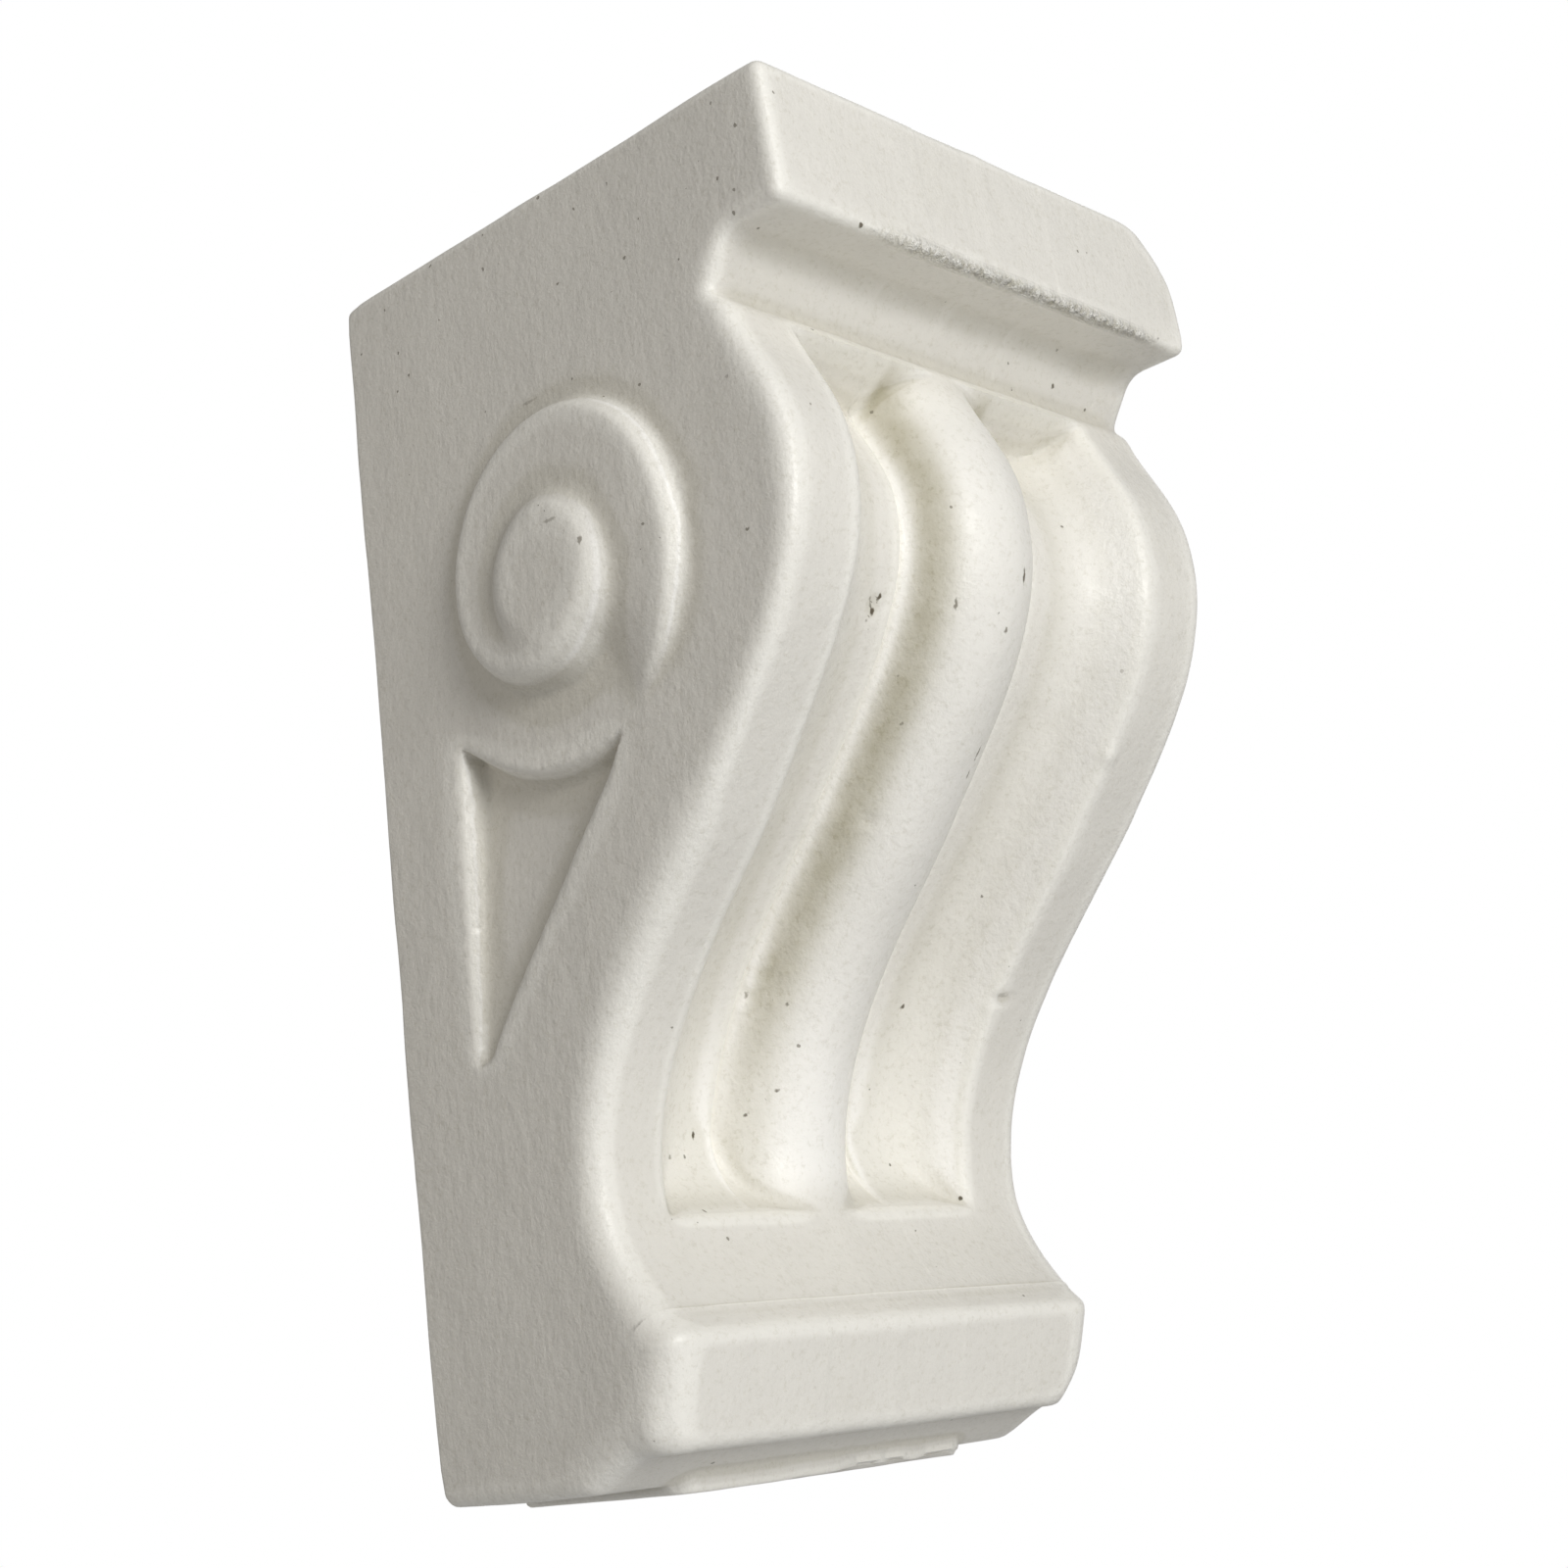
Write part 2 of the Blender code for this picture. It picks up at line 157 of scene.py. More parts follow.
@dataclass
class Trace:
    """A side outline that is drawn piece by piece, with an arris radius for each of its points."""

    places: list[np.ndarray] = field(default_factory=list)
    radii: list[np.ndarray] = field(default_factory=list)
    corner_step: float = 0.0003
    corner_length: float = 1.6
    curve_length: float = 1.05

    def add(self, points: Points, arris: float) -> None:
        """Adds points that share one arris radius."""
        self.places.append(np.atleast_2d(points))
        self.radii.append(np.full(len(np.atleast_2d(points)), arris))

    def line(self, start: Points, end: Points, step: float, arris: float) -> None:
        """Adds a straight run without its ends, in equal steps no longer than the given one.

        Args:
            start: Place before the run.
            end: Place after it.
            step: Longest step.
            arris: Arris radius along the run.
        """
        count = max(2, math.ceil(np.linalg.norm(np.subtract(end, start)) / step))
        part = np.arange(1, count)[:, None] / count
        self.add(np.asarray(start) * (1.0 - part) + np.asarray(end) * part, arris)

    def corner(self, before: Points, place: Points, after: Points, reach: float, arris: float) -> None:
        """Adds a rounded corner: a quadratic curve that leaves both sides at the given reach.

        Args:
            before: Place that the outline comes from.
            place: The sharp corner.
            after: Place that the outline goes to.
            reach: Distance from the corner at which the rounding starts and ends.
            arris: Arris radius at the corner.
        """
        here = np.asarray(place, float)
        first = towards(here, before, reach)
        last = towards(here, after, reach)
        count = max(4, math.ceil(reach * self.corner_length / self.corner_step))
        part = np.linspace(0.0, 1.0, count)[:, None]
        self.add(first * (1 - part) ** 2 + here * (2 * part * (1 - part)) + last * part**2, arris)

    def curve(self, start: Points, start_pull: Points, end: Points, end_pull: Points, step: float,
              arris: float) -> None:
        """Adds a cubic curve without its last point, in steps of about the given length.

        Args:
            start: First place.
            start_pull: Arm of the curve at its start.
            end: Last place.
            end_pull: Arm at its end, in the direction of travel.
            step: Length between points.
            arris: Arris radius along the curve.
        """
        start, end = np.asarray(start, float), np.asarray(end, float)
        first, second = start + start_pull, end - end_pull
        count = math.ceil(np.linalg.norm(end - start) * self.curve_length / step)
        part = (np.arange(count) / count)[:, None]
        rest = 1.0 - part
        pulled = first * 3 * rest**2 * part + second * 3 * rest * part**2
        self.add(start * rest**3 + pulled + end * part**3, arris)


@dataclass
class ProfileSizes:
    """Outline of the casting from the side: slab, neck, curved shaft, block and underside.

    Places are given as distance out of the wall and level. The neck's hollow and crease are counted from the
    back of the slab's underside. A reach is where a corner's rounding starts, and a pull is a curve's arm.
    """

    height: float = 0.150
    top_width: float = 0.077
    bottom_width: float = 0.075
    projection: float = 0.0762
    slab_height: float = 0.0172
    slab_rake: float = 0.0009
    slab_overhang: float = 0.0088
    hollow: Pair = (0.0037, 0.0063)
    crease: Pair = (0.0016, 0.0080)
    belly: Pair = (0.0731, 0.1039)
    middle: Pair = (0.0541, 0.0699)
    waist: Pair = (0.0318, 0.0334)
    foot: Pair = (0.0385, 0.0180)
    block_face: float = 0.0413
    block_top: float = 0.0157
    block_low_face: float = 0.0380
    block_underside: float = 0.0035
    under_back: float = 0.0326
    drop_back: float = 0.0250
    back_reach: float = 0.0009
    top_reach: float = 0.0014
    low_reach: float = 0.0017
    neck_reach: float = 0.0022
    hollow_reach: float = 0.0014
    crease_reach: float = 0.0012
    shoulder_reach: float = 0.0013
    foot_reach: float = 0.0009
    block_reach: float = 0.0011
    chin_reach: float = 0.0020
    heel_reach: float = 0.0018
    block_face_ease: Pair = (0.0003, -0.0005)
    under_pull: Pair = (0.0030, -0.0008)
    drop_pull: Pair = (0.0020, -0.0006)
    shoulder_way: Pair = (-0.0032, -0.0081)
    shoulder_pull: Pair = (-0.0028, -0.0070)
    belly_upper_pull: Pair = (0.0, -0.0092)
    belly_lower_pull: Pair = (0.0, -0.0127)
    middle_upper_pull: Pair = (0.0098, -0.0119)
    middle_lower_pull: Pair = (0.0052, -0.0063)
    waist_upper_pull: Pair = (0.0, -0.0154)
    waist_lower_pull: Pair = (0.0, -0.0068)
    foot_pull: Pair = (-0.0040, -0.0052)
    flat_arris: float = 0.0010
    slab_arris: float = 0.0013
    neck_arris: float = 0.0015
    hollow_arris: float = 0.0018
    belly_arris: float = 0.0021
    waist_arris: float = 0.0027
    shaft_arris: float = 0.0031
    block_arris: float = 0.0038
    chin_arris: float = 0.0034
    drop_arris: float = 0.0026
    plate_arris: float = 0.0018
    heel_arris: float = 0.0016
    front_step: float = 0.00058
    shoulder_step: float = 0.000406
    drop_step: float = 0.0003
    under_step: float = 0.0010
    flat_step: float = 0.0026
    blend_reach: float = 0.0022
    bell_width: float = 1.1
    bell_end: float = 4.0

    def half_width(self, level: np.ndarray) -> np.ndarray:
        """Half of the width at a level: a straight taper from the top to the bottom."""
        return 0.5 * (self.bottom_width + (self.top_width - self.bottom_width) * level / self.height)

    def trace(self) -> Trace:
        """The outline from the back of the top round the front to the back, as a closed ring.

        Returns:
            The outline's places as (y, level), with y negative in front of the wall, and their arris radii.
        """
        low = self.height - self.slab_height
        neck = self.slab_overhang - self.projection
        back_top = (0.0, self.height)
        front_top = (self.slab_rake - self.projection, self.height)
        front_low = (-self.projection, low)
        under_slab = (neck, low)
        hollow = (neck + self.hollow[0], low - self.hollow[1])
        crease = (neck + self.crease[0], low - self.crease[1])
        belly, middle, waist, foot = ((-place[0], place[1])
                                      for place in (self.belly, self.middle, self.waist, self.foot))
        arris = (-self.block_face, self.block_top)
        chin = (-self.block_low_face, self.block_underside)
        under = (-self.under_back, self.block_underside)
        drop = (-self.drop_back, 0.0)
        back_low = (0.0, 0.0)
        trace = Trace()
        step = self.front_step
        trace.corner(back_low, back_top, front_top, self.back_reach, self.flat_arris)
        trace.line((-self.back_reach, self.height), (front_top[0] + self.top_reach, self.height),
                   self.flat_step, self.flat_arris)
        trace.corner(back_top, front_top, front_low, self.top_reach, self.slab_arris)
        trace.line(np.add(front_top, (0, -self.top_reach)), np.add(front_low, (0, self.low_reach)), step,
                   self.slab_arris)
        trace.corner(front_top, front_low, under_slab, self.low_reach, self.slab_arris)
        trace.line(np.add(front_low, (self.low_reach, 0)), np.add(under_slab, (-self.neck_reach, 0)), step,
                   self.slab_arris)
        trace.corner(front_low, under_slab, hollow, self.neck_reach, self.slab_arris)
        trace.line(towards(under_slab, hollow, self.neck_reach),
                   towards(hollow, under_slab, self.hollow_reach), step, self.neck_arris)
        trace.corner(under_slab, hollow, crease, self.hollow_reach, self.hollow_arris)
        shoulder = np.add(crease, unit(self.shoulder_way) * self.shoulder_reach)
        trace.corner(hollow, crease, shoulder, self.crease_reach, self.hollow_arris)
        trace.curve(shoulder, self.shoulder_pull, belly, self.belly_upper_pull, self.shoulder_step,
                    self.belly_arris)
        trace.curve(belly, self.belly_lower_pull, middle, self.middle_upper_pull, step, self.belly_arris)
        trace.curve(middle, self.middle_lower_pull, waist, self.waist_upper_pull, step, self.waist_arris)
        trace.curve(waist, self.waist_lower_pull, foot, self.foot_pull, step, self.shaft_arris)
        trace.corner(waist, foot, arris, self.foot_reach, self.shaft_arris)
        trace.corner(foot, arris, chin, self.block_reach, self.block_arris)
        trace.line(np.add(arris, (self.block_face_ease[0], -self.block_reach)),
                   np.add(chin, (self.block_face_ease[1], self.chin_reach)), step, self.block_arris)
        trace.corner(arris, chin, under, self.chin_reach, self.block_arris)
        trace.line(np.add(chin, (self.chin_reach, 0)), under, step, self.chin_arris)
        trace.curve(under, self.under_pull, drop, self.drop_pull, self.drop_step, self.drop_arris)
        trace.line(drop, (-self.heel_reach, 0.0), self.under_step, self.plate_arris)
        trace.corner(drop, back_low, back_top, self.heel_reach, self.heel_arris)
        trace.line((0.0, self.heel_reach), (0.0, self.height - self.back_reach), self.flat_step,
                   self.flat_arris)
        return trace

    def ring(self) -> tuple[Points, np.ndarray, Points]:
        """Outline points, their arris radii and the directions from them into the casting.

        The direction is the outline's normal, averaged over about one arris radius to each side with a bell
        weight, so that the rounded edges of neighbouring points never cross.

        Returns:
            Points as (y, level), one radius for each, and one unit direction for each.
        """
        trace = self.trace()
        points = np.concatenate(trace.places)
        radii = np.concatenate(trace.radii)
        gap = np.linalg.norm(points[:, None] - points[None], axis=2)
        ahead = np.roll(points, -1, axis=0) - np.roll(points, 1, axis=0)
        length = np.linalg.norm(ahead, axis=1)
        inward = np.stack([-ahead[:, 1], ahead[:, 0]], axis=1) / length[:, None]
        even = np.exp(-((gap / self.blend_reach) ** 2)) * length[None]
        radii = (even @ radii) / even.sum(axis=1)
        weight = np.exp(-((gap / (self.bell_width * radii[:, None])) ** 2)) * length[None]
        weight[gap > self.bell_end * radii[:, None]] = 0.0
        return points, radii, unit(weight @ inward)


def soft_lower(first: np.ndarray, second: np.ndarray, reach: float) -> np.ndarray:
    """The lower of two heights, with a rounded passage where they differ by less than the reach."""
    gap = np.maximum(reach - np.abs(first - second), 0.0)
    return np.minimum(first, second) - gap * gap / (4.0 * reach)


def sloped(part: np.ndarray) -> np.ndarray:
    """Rise of a straight slope from its foot (0) to its crest (1), rounded over at the crest."""
    crest = 0.30
    return np.maximum(0.0, soft_lower(part, np.ones_like(part), crest))


@dataclass
class Flutes:
    """Two flutes and the roll between them, cut into the shaft's front."""

    centre: float = -0.0005
    reach: float = 0.0274
    arris: float = 0.0017
    cove_radius: float = 0.0117
    cove_turn: float = math.radians(50.0)
    roll_radius: float = 0.0100
    roll_turn: float = math.radians(60.0)
    depth: float = 0.0074
    foot_above: float = 0.0026
    foot_below: float = 0.0015
    step: float = 0.0011
    step_place: float = 0.0116
    step_run: float = 0.0003
    top_level: float = 0.1242
    top_run: float = 0.0016
    foot_level: float = 0.0290
    foot_run: float = 0.0100
    foot_power: float = 1.8
    share_gain: float = 1.2
    share_least: float = 0.05
    floor_blend: float = 0.0003
    # Painted shade on the roll's steep flanks and under the flutes' top wall.
    shade_slope: Pair = (0.62, 1.5)
    shade_level: Pair = (0.040, 0.068)
    shade_flank: Pair = (0.0012, 0.0026)
    shade_low: float = 0.35
    lip_shade: float = 0.30
    lip_below: Pair = (0.0036, 0.0016)
    lip_above: float = 0.0012
    lip_start: Pair = (0.0040, 0.0070)
    lip_end: Pair = (0.001, 0.005)
    probe: float = 0.0004

    def outer(self, side: np.ndarray) -> np.ndarray:
        """Depth of the outer part: from the arris a rounded edge, a straight wall and a cove to the floor.

        Args:
            side: Distances from the flutes' centre line.

        Returns:
            One depth per distance, of use only inside the reach.
        """
        sine, cosine, slope = math.sin(self.cove_turn), math.cos(self.cove_turn), math.tan(self.cove_turn)
        high = self.reach - self.arris * sine
        high_depth = self.arris * (1.0 - cosine)
        low_depth = self.depth - self.cove_radius * (1.0 - cosine)
        low = high - (low_depth - high_depth) / slope
        cove = low - self.cove_radius * sine
        edge = self.arris - np.sqrt(self.arris**2 - np.clip(side - self.reach, -self.arris, 0.0) ** 2)
        run = np.clip(side - cove, 0.0, self.cove_radius)
        hollow = self.depth - self.cove_radius + np.sqrt(self.cove_radius**2 - run**2)
        wall = high_depth + (high - side) * slope
        return np.where(side >= high, edge, np.where(side >= low, wall, hollow))

    def roll(self, side: np.ndarray) -> np.ndarray:
        """Depth of the roll: a circle from its crown, then a straight flank.

        Args:
            side: Distances from the flutes' centre line.

        Returns:
            One depth per distance.
        """
        edge = self.roll_radius * math.sin(self.roll_turn)
        circle = self.roll_radius - np.sqrt(self.roll_radius**2 - np.minimum(side, edge) ** 2)
        return circle + np.maximum(side - edge, 0.0) * math.tan(self.roll_turn)

    def cut(self, across: np.ndarray, level: np.ndarray) -> np.ndarray:
        """Depth of the flutes, measured square to the shaft.

        The floor is cut off by a steep wall at the top and by a bowed ramp at the foot of the shaft. The roll
        meets whatever floor there is with a hollow foot, which starts from the floor at a crease.

        Args:
            across: X of each place.
            level: Level of each place.

        Returns:
            One depth per place, 0 outside the flutes.
        """
        side = np.abs(across - self.centre)
        top = np.clip((self.top_level - level) / self.top_run, 0.0, 1.0)
        climb = np.clip((level - self.foot_level) / self.foot_run, 0.0, 1.0)
        end = self.depth * np.minimum(top, 1.0 - (1.0 - climb) ** self.foot_power)
        share = np.clip(end / self.depth * self.share_gain, self.share_least, 1.0)
        drop = self.step * share * smoothstep(self.step_place + self.step_run, self.step_place, side)
        floor = soft_lower(self.outer(side), end, self.floor_blend) + drop
        above, below = self.foot_above * share, self.foot_below * share
        span = above + below
        roll = self.roll(side)
        rise = np.clip(below - (roll - floor), 0.0, span)
        foot = floor - (above - below) / span * rise - below / span**2 * rise**2
        depth = np.where(roll - floor < -above, roll, foot)
        return np.where(side >= self.reach, 0.0, np.maximum(0.0, depth))

    def painted_shade(self, across: np.ndarray, level: np.ndarray) -> np.ndarray:
        """Share of painted shade, from 0 to 1: most on the roll's steep flanks, fading out towards the step
        beside the roll.

        Args:
            across: X of each place.
            level: Level of each place.

        Returns:
            One share per place: the flank's painted shade by its slope, or the painted shade under the
                flutes' top wall where that is more.
        """
        left, right = across - self.probe, across + self.probe
        slope = np.abs(self.cut(right, level) - self.cut(left, level)) / (2.0 * self.probe)
        side = np.abs(across - self.centre)
        flank = smoothstep(self.step_place - self.shade_flank[0], self.step_place - self.shade_flank[1], side)
        flank = flank * (self.shade_low + (1.0 - self.shade_low) * smoothstep(*self.shade_level, level))
        lip = smoothstep(self.top_level - self.lip_below[0], self.top_level - self.lip_below[1], level)
        lip = lip * smoothstep(self.top_level + self.lip_above, self.top_level, level)
        lip = lip * smoothstep(*self.lip_start, side)
        lip = lip * smoothstep(self.reach - self.lip_end[0], self.reach - self.lip_end[1], side)
        # Painted shade: darkens the roll's steep flanks and the wall under the flutes' top.
        return np.maximum(smoothstep(*self.shade_slope, slope) * flank, self.lip_shade * lip)


@dataclass
class Scroll:
    """Raised scroll on a side: a ring that ramps up round its centre, and a raised eye, with sloped steps."""

    centre: Pair = (0.0365, 0.1016)
    size: float = 0.0210
    outer_step: float = 0.0016
    inner_step: float = 0.0026
    step_change: Pair = (0.80, 1.05)
    eye_rise: float = 0.0044
    stem_angle: float = 60.0
    turns: tuple[float, ...] = (0.0, 0.17, 0.42, 0.67, 0.92, 1.17, 1.42, 1.67, 1.95)
    reaches: tuple[float, ...] = (1.0, 0.976, 1.019, 0.833, 0.581, 0.495, 0.490, 0.448, 0.410)
    rise_turns: tuple[float, ...] = (0.0, 0.07, 0.17, 0.42, 0.67, 0.85, 0.92, 1.0)
    rises: tuple[float, ...] = (0.0, 0.36, 0.52, 0.57, 0.68, 0.95, 1.0, 1.0)
    start: float = 0.012
    end: float = 1.86
    fade: Pair = (0.01, -0.12)
    line_points: int = 190
    line_parts: tuple[float, ...] = (0.0, 0.20, 0.50, 0.80, 1.0, 1.25)

    def reach(self, turn: np.ndarray) -> np.ndarray:
        """Distance from the centre to the step's foot, eased between the named turns by a cubic."""
        return eased(self.turns, self.reaches, turn) * self.size

    def place(self, reach: np.ndarray, turn: np.ndarray) -> Points:
        """Places on the side at a distance from the centre, in a direction counted from the stem.

        Args:
            reach: Distances from the centre.
            turn: Directions in whole turns.

        Returns:
            Places as (y, level).
        """
        angle = np.radians(turn * 360.0 - self.stem_angle)
        ahead, up = reach * np.cos(angle), reach * np.sin(angle)
        return np.stack([-self.centre[0] - ahead, self.centre[1] + up], axis=-1)

    def run(self, turn: np.ndarray) -> np.ndarray:
        """Width of the sloped step: steep round the ring, wider round the eye."""
        return self.outer_step + (self.inner_step - self.outer_step) * smoothstep(*self.step_change, turn)

    def rise(self, side: Points) -> np.ndarray:
        """Height above the side: the ring's ramp behind a sloped step, and the eye behind a second one.

        Args:
            side: Places on the side as (y, level).

        Returns:
            One height per place.
        """
        across = -(side[:, 0] + self.centre[0])
        up = side[:, 1] - self.centre[1]
        reach = np.hypot(across, up)
        turn = ((np.degrees(np.arctan2(up, across)) + self.stem_angle) / 360.0) % 1.0
        ring = eased(self.rise_turns, self.rises, turn) * self.eye_rise
        outer, inner = self.reach(turn), self.reach(turn + 1.0)
        rise = ring * sloped((outer - reach) / self.run(turn))
        fade = smoothstep(self.end + self.fade[0], self.end + self.fade[1], turn + 1.0)
        second = (self.eye_rise - ring) * sloped((inner - reach) / self.run(turn + 1.0)) * fade
        late = (self.eye_rise - ring) * (1.0 - fade) * smoothstep(0.0, self.inner_step, inner - reach)
        return np.where(reach < outer, rise + np.where(reach < inner, second + late, 0.0), 0.0)

    def lines(self) -> list[Points]:
        """Lines along the step from its foot to its crest, which the side's mesh follows.

        Returns:
            Open lines as (y, level) points.
        """
        turn = np.linspace(self.start, self.end, self.line_points)
        return [self.place(self.reach(turn) - part * self.run(turn), turn) for part in self.line_parts]


def eased(keys: tuple[float, ...], values: tuple[float, ...], at: np.ndarray) -> np.ndarray:
    """Value between named keys, by a cubic whose slope at each key is that of its two neighbours.

    Args:
        keys: Rising keys.
        values: One value per key.
        at: Where to read.

    Returns:
        One value per place in at.
    """
    key = np.asarray(keys)
    value = np.asarray(values)
    slope = np.gradient(value, key)
    index = np.clip(np.searchsorted(key, at, side="right") - 1, 0, len(key) - 2)
    span = key[index + 1] - key[index]
    part = np.clip((at - key[index]) / span, 0.0, 1.0)
    square, cube = part**2, part**3
    start = (2 * cube - 3 * square + 1) * value[index] + (cube - 2 * square + part) * span * slope[index]
    return start + (3 * square - 2 * cube) * value[index + 1] + (cube - square) * span * slope[index + 1]


@dataclass
class Wedge:
    """Sunk three-sided panel under the scroll."""

    scroll: Scroll
    depth: float = 0.0032
    tip_depth: float = 0.0010
    wall: float = 0.0008
    support: float = 0.0004
    tip: Pair = (0.0143, 0.0485)
    tip_front: Pair = (-0.0022, 0.0009)
    tip_back: Pair = (0.0005, 0.0012)
    front_pull: Pair = (0.0053, -0.0085)
    stem: Pair = (-0.028, 0.985)
    back: Pair = (-0.238, 1.224)
    top_drop: float = 0.0187
    top_power: float = 0.75
    least_bend: float = 0.45
    top_points: int = 28
    front_step: float = 0.0009
    back_step: float = 0.0010

    def outline(self) -> Points:
        """Closed outline: an arc round the scroll, the bowed front edge, the tip and the straight back edge.

        Returns:
            Points as (y, level).
        """
        part = np.linspace(0.0, 1.0, self.top_points)
        turn = self.back[0] + (self.stem[0] - self.back[0]) * part
        reach = (self.back[1] + (self.stem[1] - self.back[1]) * part**self.top_power) * self.scroll.size
        top = self.scroll.place(reach, turn)
        tip = np.array([-self.tip[0], self.tip[1]])
        low, end = tip + self.tip_front, tip + self.tip_back
        front = Trace()
        front.curve(top[-1], self.front_pull, low, self.front_pull, self.front_step, 0.0)
        back = Trace()
        back.line(end, top[0], self.back_step, 0.0)
        return np.concatenate([top, front.places[0][1:], [low, tip, end], back.places[0]])

    def sink(self, side: Points) -> np.ndarray:
        """Depth below the side: full depth one wall's width inside the outline, less towards the tip.

        Args:
            side: Places on the side as (y, level).

        Returns:
            One depth per place, 0 outside the outline.
        """
        outline = self.outline()
        gap = outline_distance(side, outline)
        inside = inside_outline(side, outline)
        top = self.scroll.centre[1] - self.top_drop
        part = np.clip((side[:, 1] - self.tip[1]) / (top - self.tip[1]), 0.0, 1.0)
        floor = self.tip_depth + (self.depth - self.tip_depth) * part
        return np.where(inside, floor * np.clip(gap / self.wall, 0.0, 1.0), 0.0)

    def lines(self) -> list[Points]:
        """Lines that the side's mesh follows: the outline, the floor line inside it, and one beside each.

        Returns:
            Closed lines as (y, level) points.
        """
        outline = self.outline()
        before = unit(outline - np.roll(outline, 1, axis=0))
        after = unit(np.roll(outline, -1, axis=0) - outline)
        area = np.sum(np.cross(outline, np.roll(outline, -1, axis=0)))
        turned = np.sign(area) * np.array([-1.0, 1.0])
        normal = unit(before[:, ::-1] * turned + after[:, ::-1] * turned)
        scale = np.maximum(self.least_bend, np.sum(normal * after[:, ::-1] * turned, axis=1))
        offsets = (0.0, self.wall, -self.support, self.wall + self.support)
        return [outline + normal * (offset / scale)[:, None] for offset in offsets]


def outline_distance(points: Points, outline: Points) -> np.ndarray:
    """Distance from each point to the nearest stretch of a closed outline.

    Args:
        points: Places as (n, 2).
        outline: Points of the outline, as (m, 2).

    Returns:
        One distance per point.
    """
    nearest = np.full(len(points), np.inf)
    for start, end in zip(outline, np.roll(outline, -1, axis=0)):
        along = end - start
        part = np.clip(((points - start) @ along) / (along @ along), 0.0, 1.0)
        nearest = np.minimum(nearest, np.linalg.norm(points - start - part[:, None] * along, axis=1))
    return nearest


def inside_outline(points: Points, outline: Points) -> np.ndarray:
    """True where a ray along +Y of the side crosses the closed outline an odd number of times.

    Args:
        points: Places as (n, 2).
        outline: Points of the outline, as (m, 2).

    Returns:
        One truth value per point.
    """
    tiny = 1e-12
    crossings = np.zeros(len(points), int)
    for start, end in zip(outline, np.roll(outline, -1, axis=0)):
        spans = (start[1] > points[:, 1]) != (end[1] > points[:, 1])
        rise = end[1] - start[1]
        rise = rise if abs(rise) > tiny else tiny
        crossing = start[0] + (points[:, 1] - start[1]) / rise * (end[0] - start[0])
        crossings += spans & (points[:, 0] < crossing)
    return crossings % 2 == 1


@dataclass
class Plate:
    """Thin plate that hangs under the block, its lower front arris broken off towards the right."""

    front: float = 0.0276
    width: float = 0.0500
    depth: float = 0.0011
    corner: float = 0.0030
    arris: float = 0.0007
    under_level: float = 0.0032
    under_front: float = 0.0335
    under_back: float = 0.0003

    def lower(self, across: np.ndarray, outward: np.ndarray, level: np.ndarray) -> np.ndarray:
        """Level of the underside: inside a rectangle with round corners it drops to the plate's face.

        Args:
            across: X of each place.
            outward: Y of each place.
            level: Level of the underside there without the plate.

        Returns:
            One level per place.
        """
        side = np.abs(across) - (0.5 * self.width - self.corner)
        ahead = -outward - (self.front - self.corner)
        gap = self.corner - np.hypot(np.maximum(side, 0.0), np.maximum(ahead, 0.0))
        gap = np.where((side < 0.0) & (ahead < 0.0), self.corner, gap)
        return np.where(gap > 0.0, level + (-self.depth - level) * quarter_round(gap / self.arris), level)


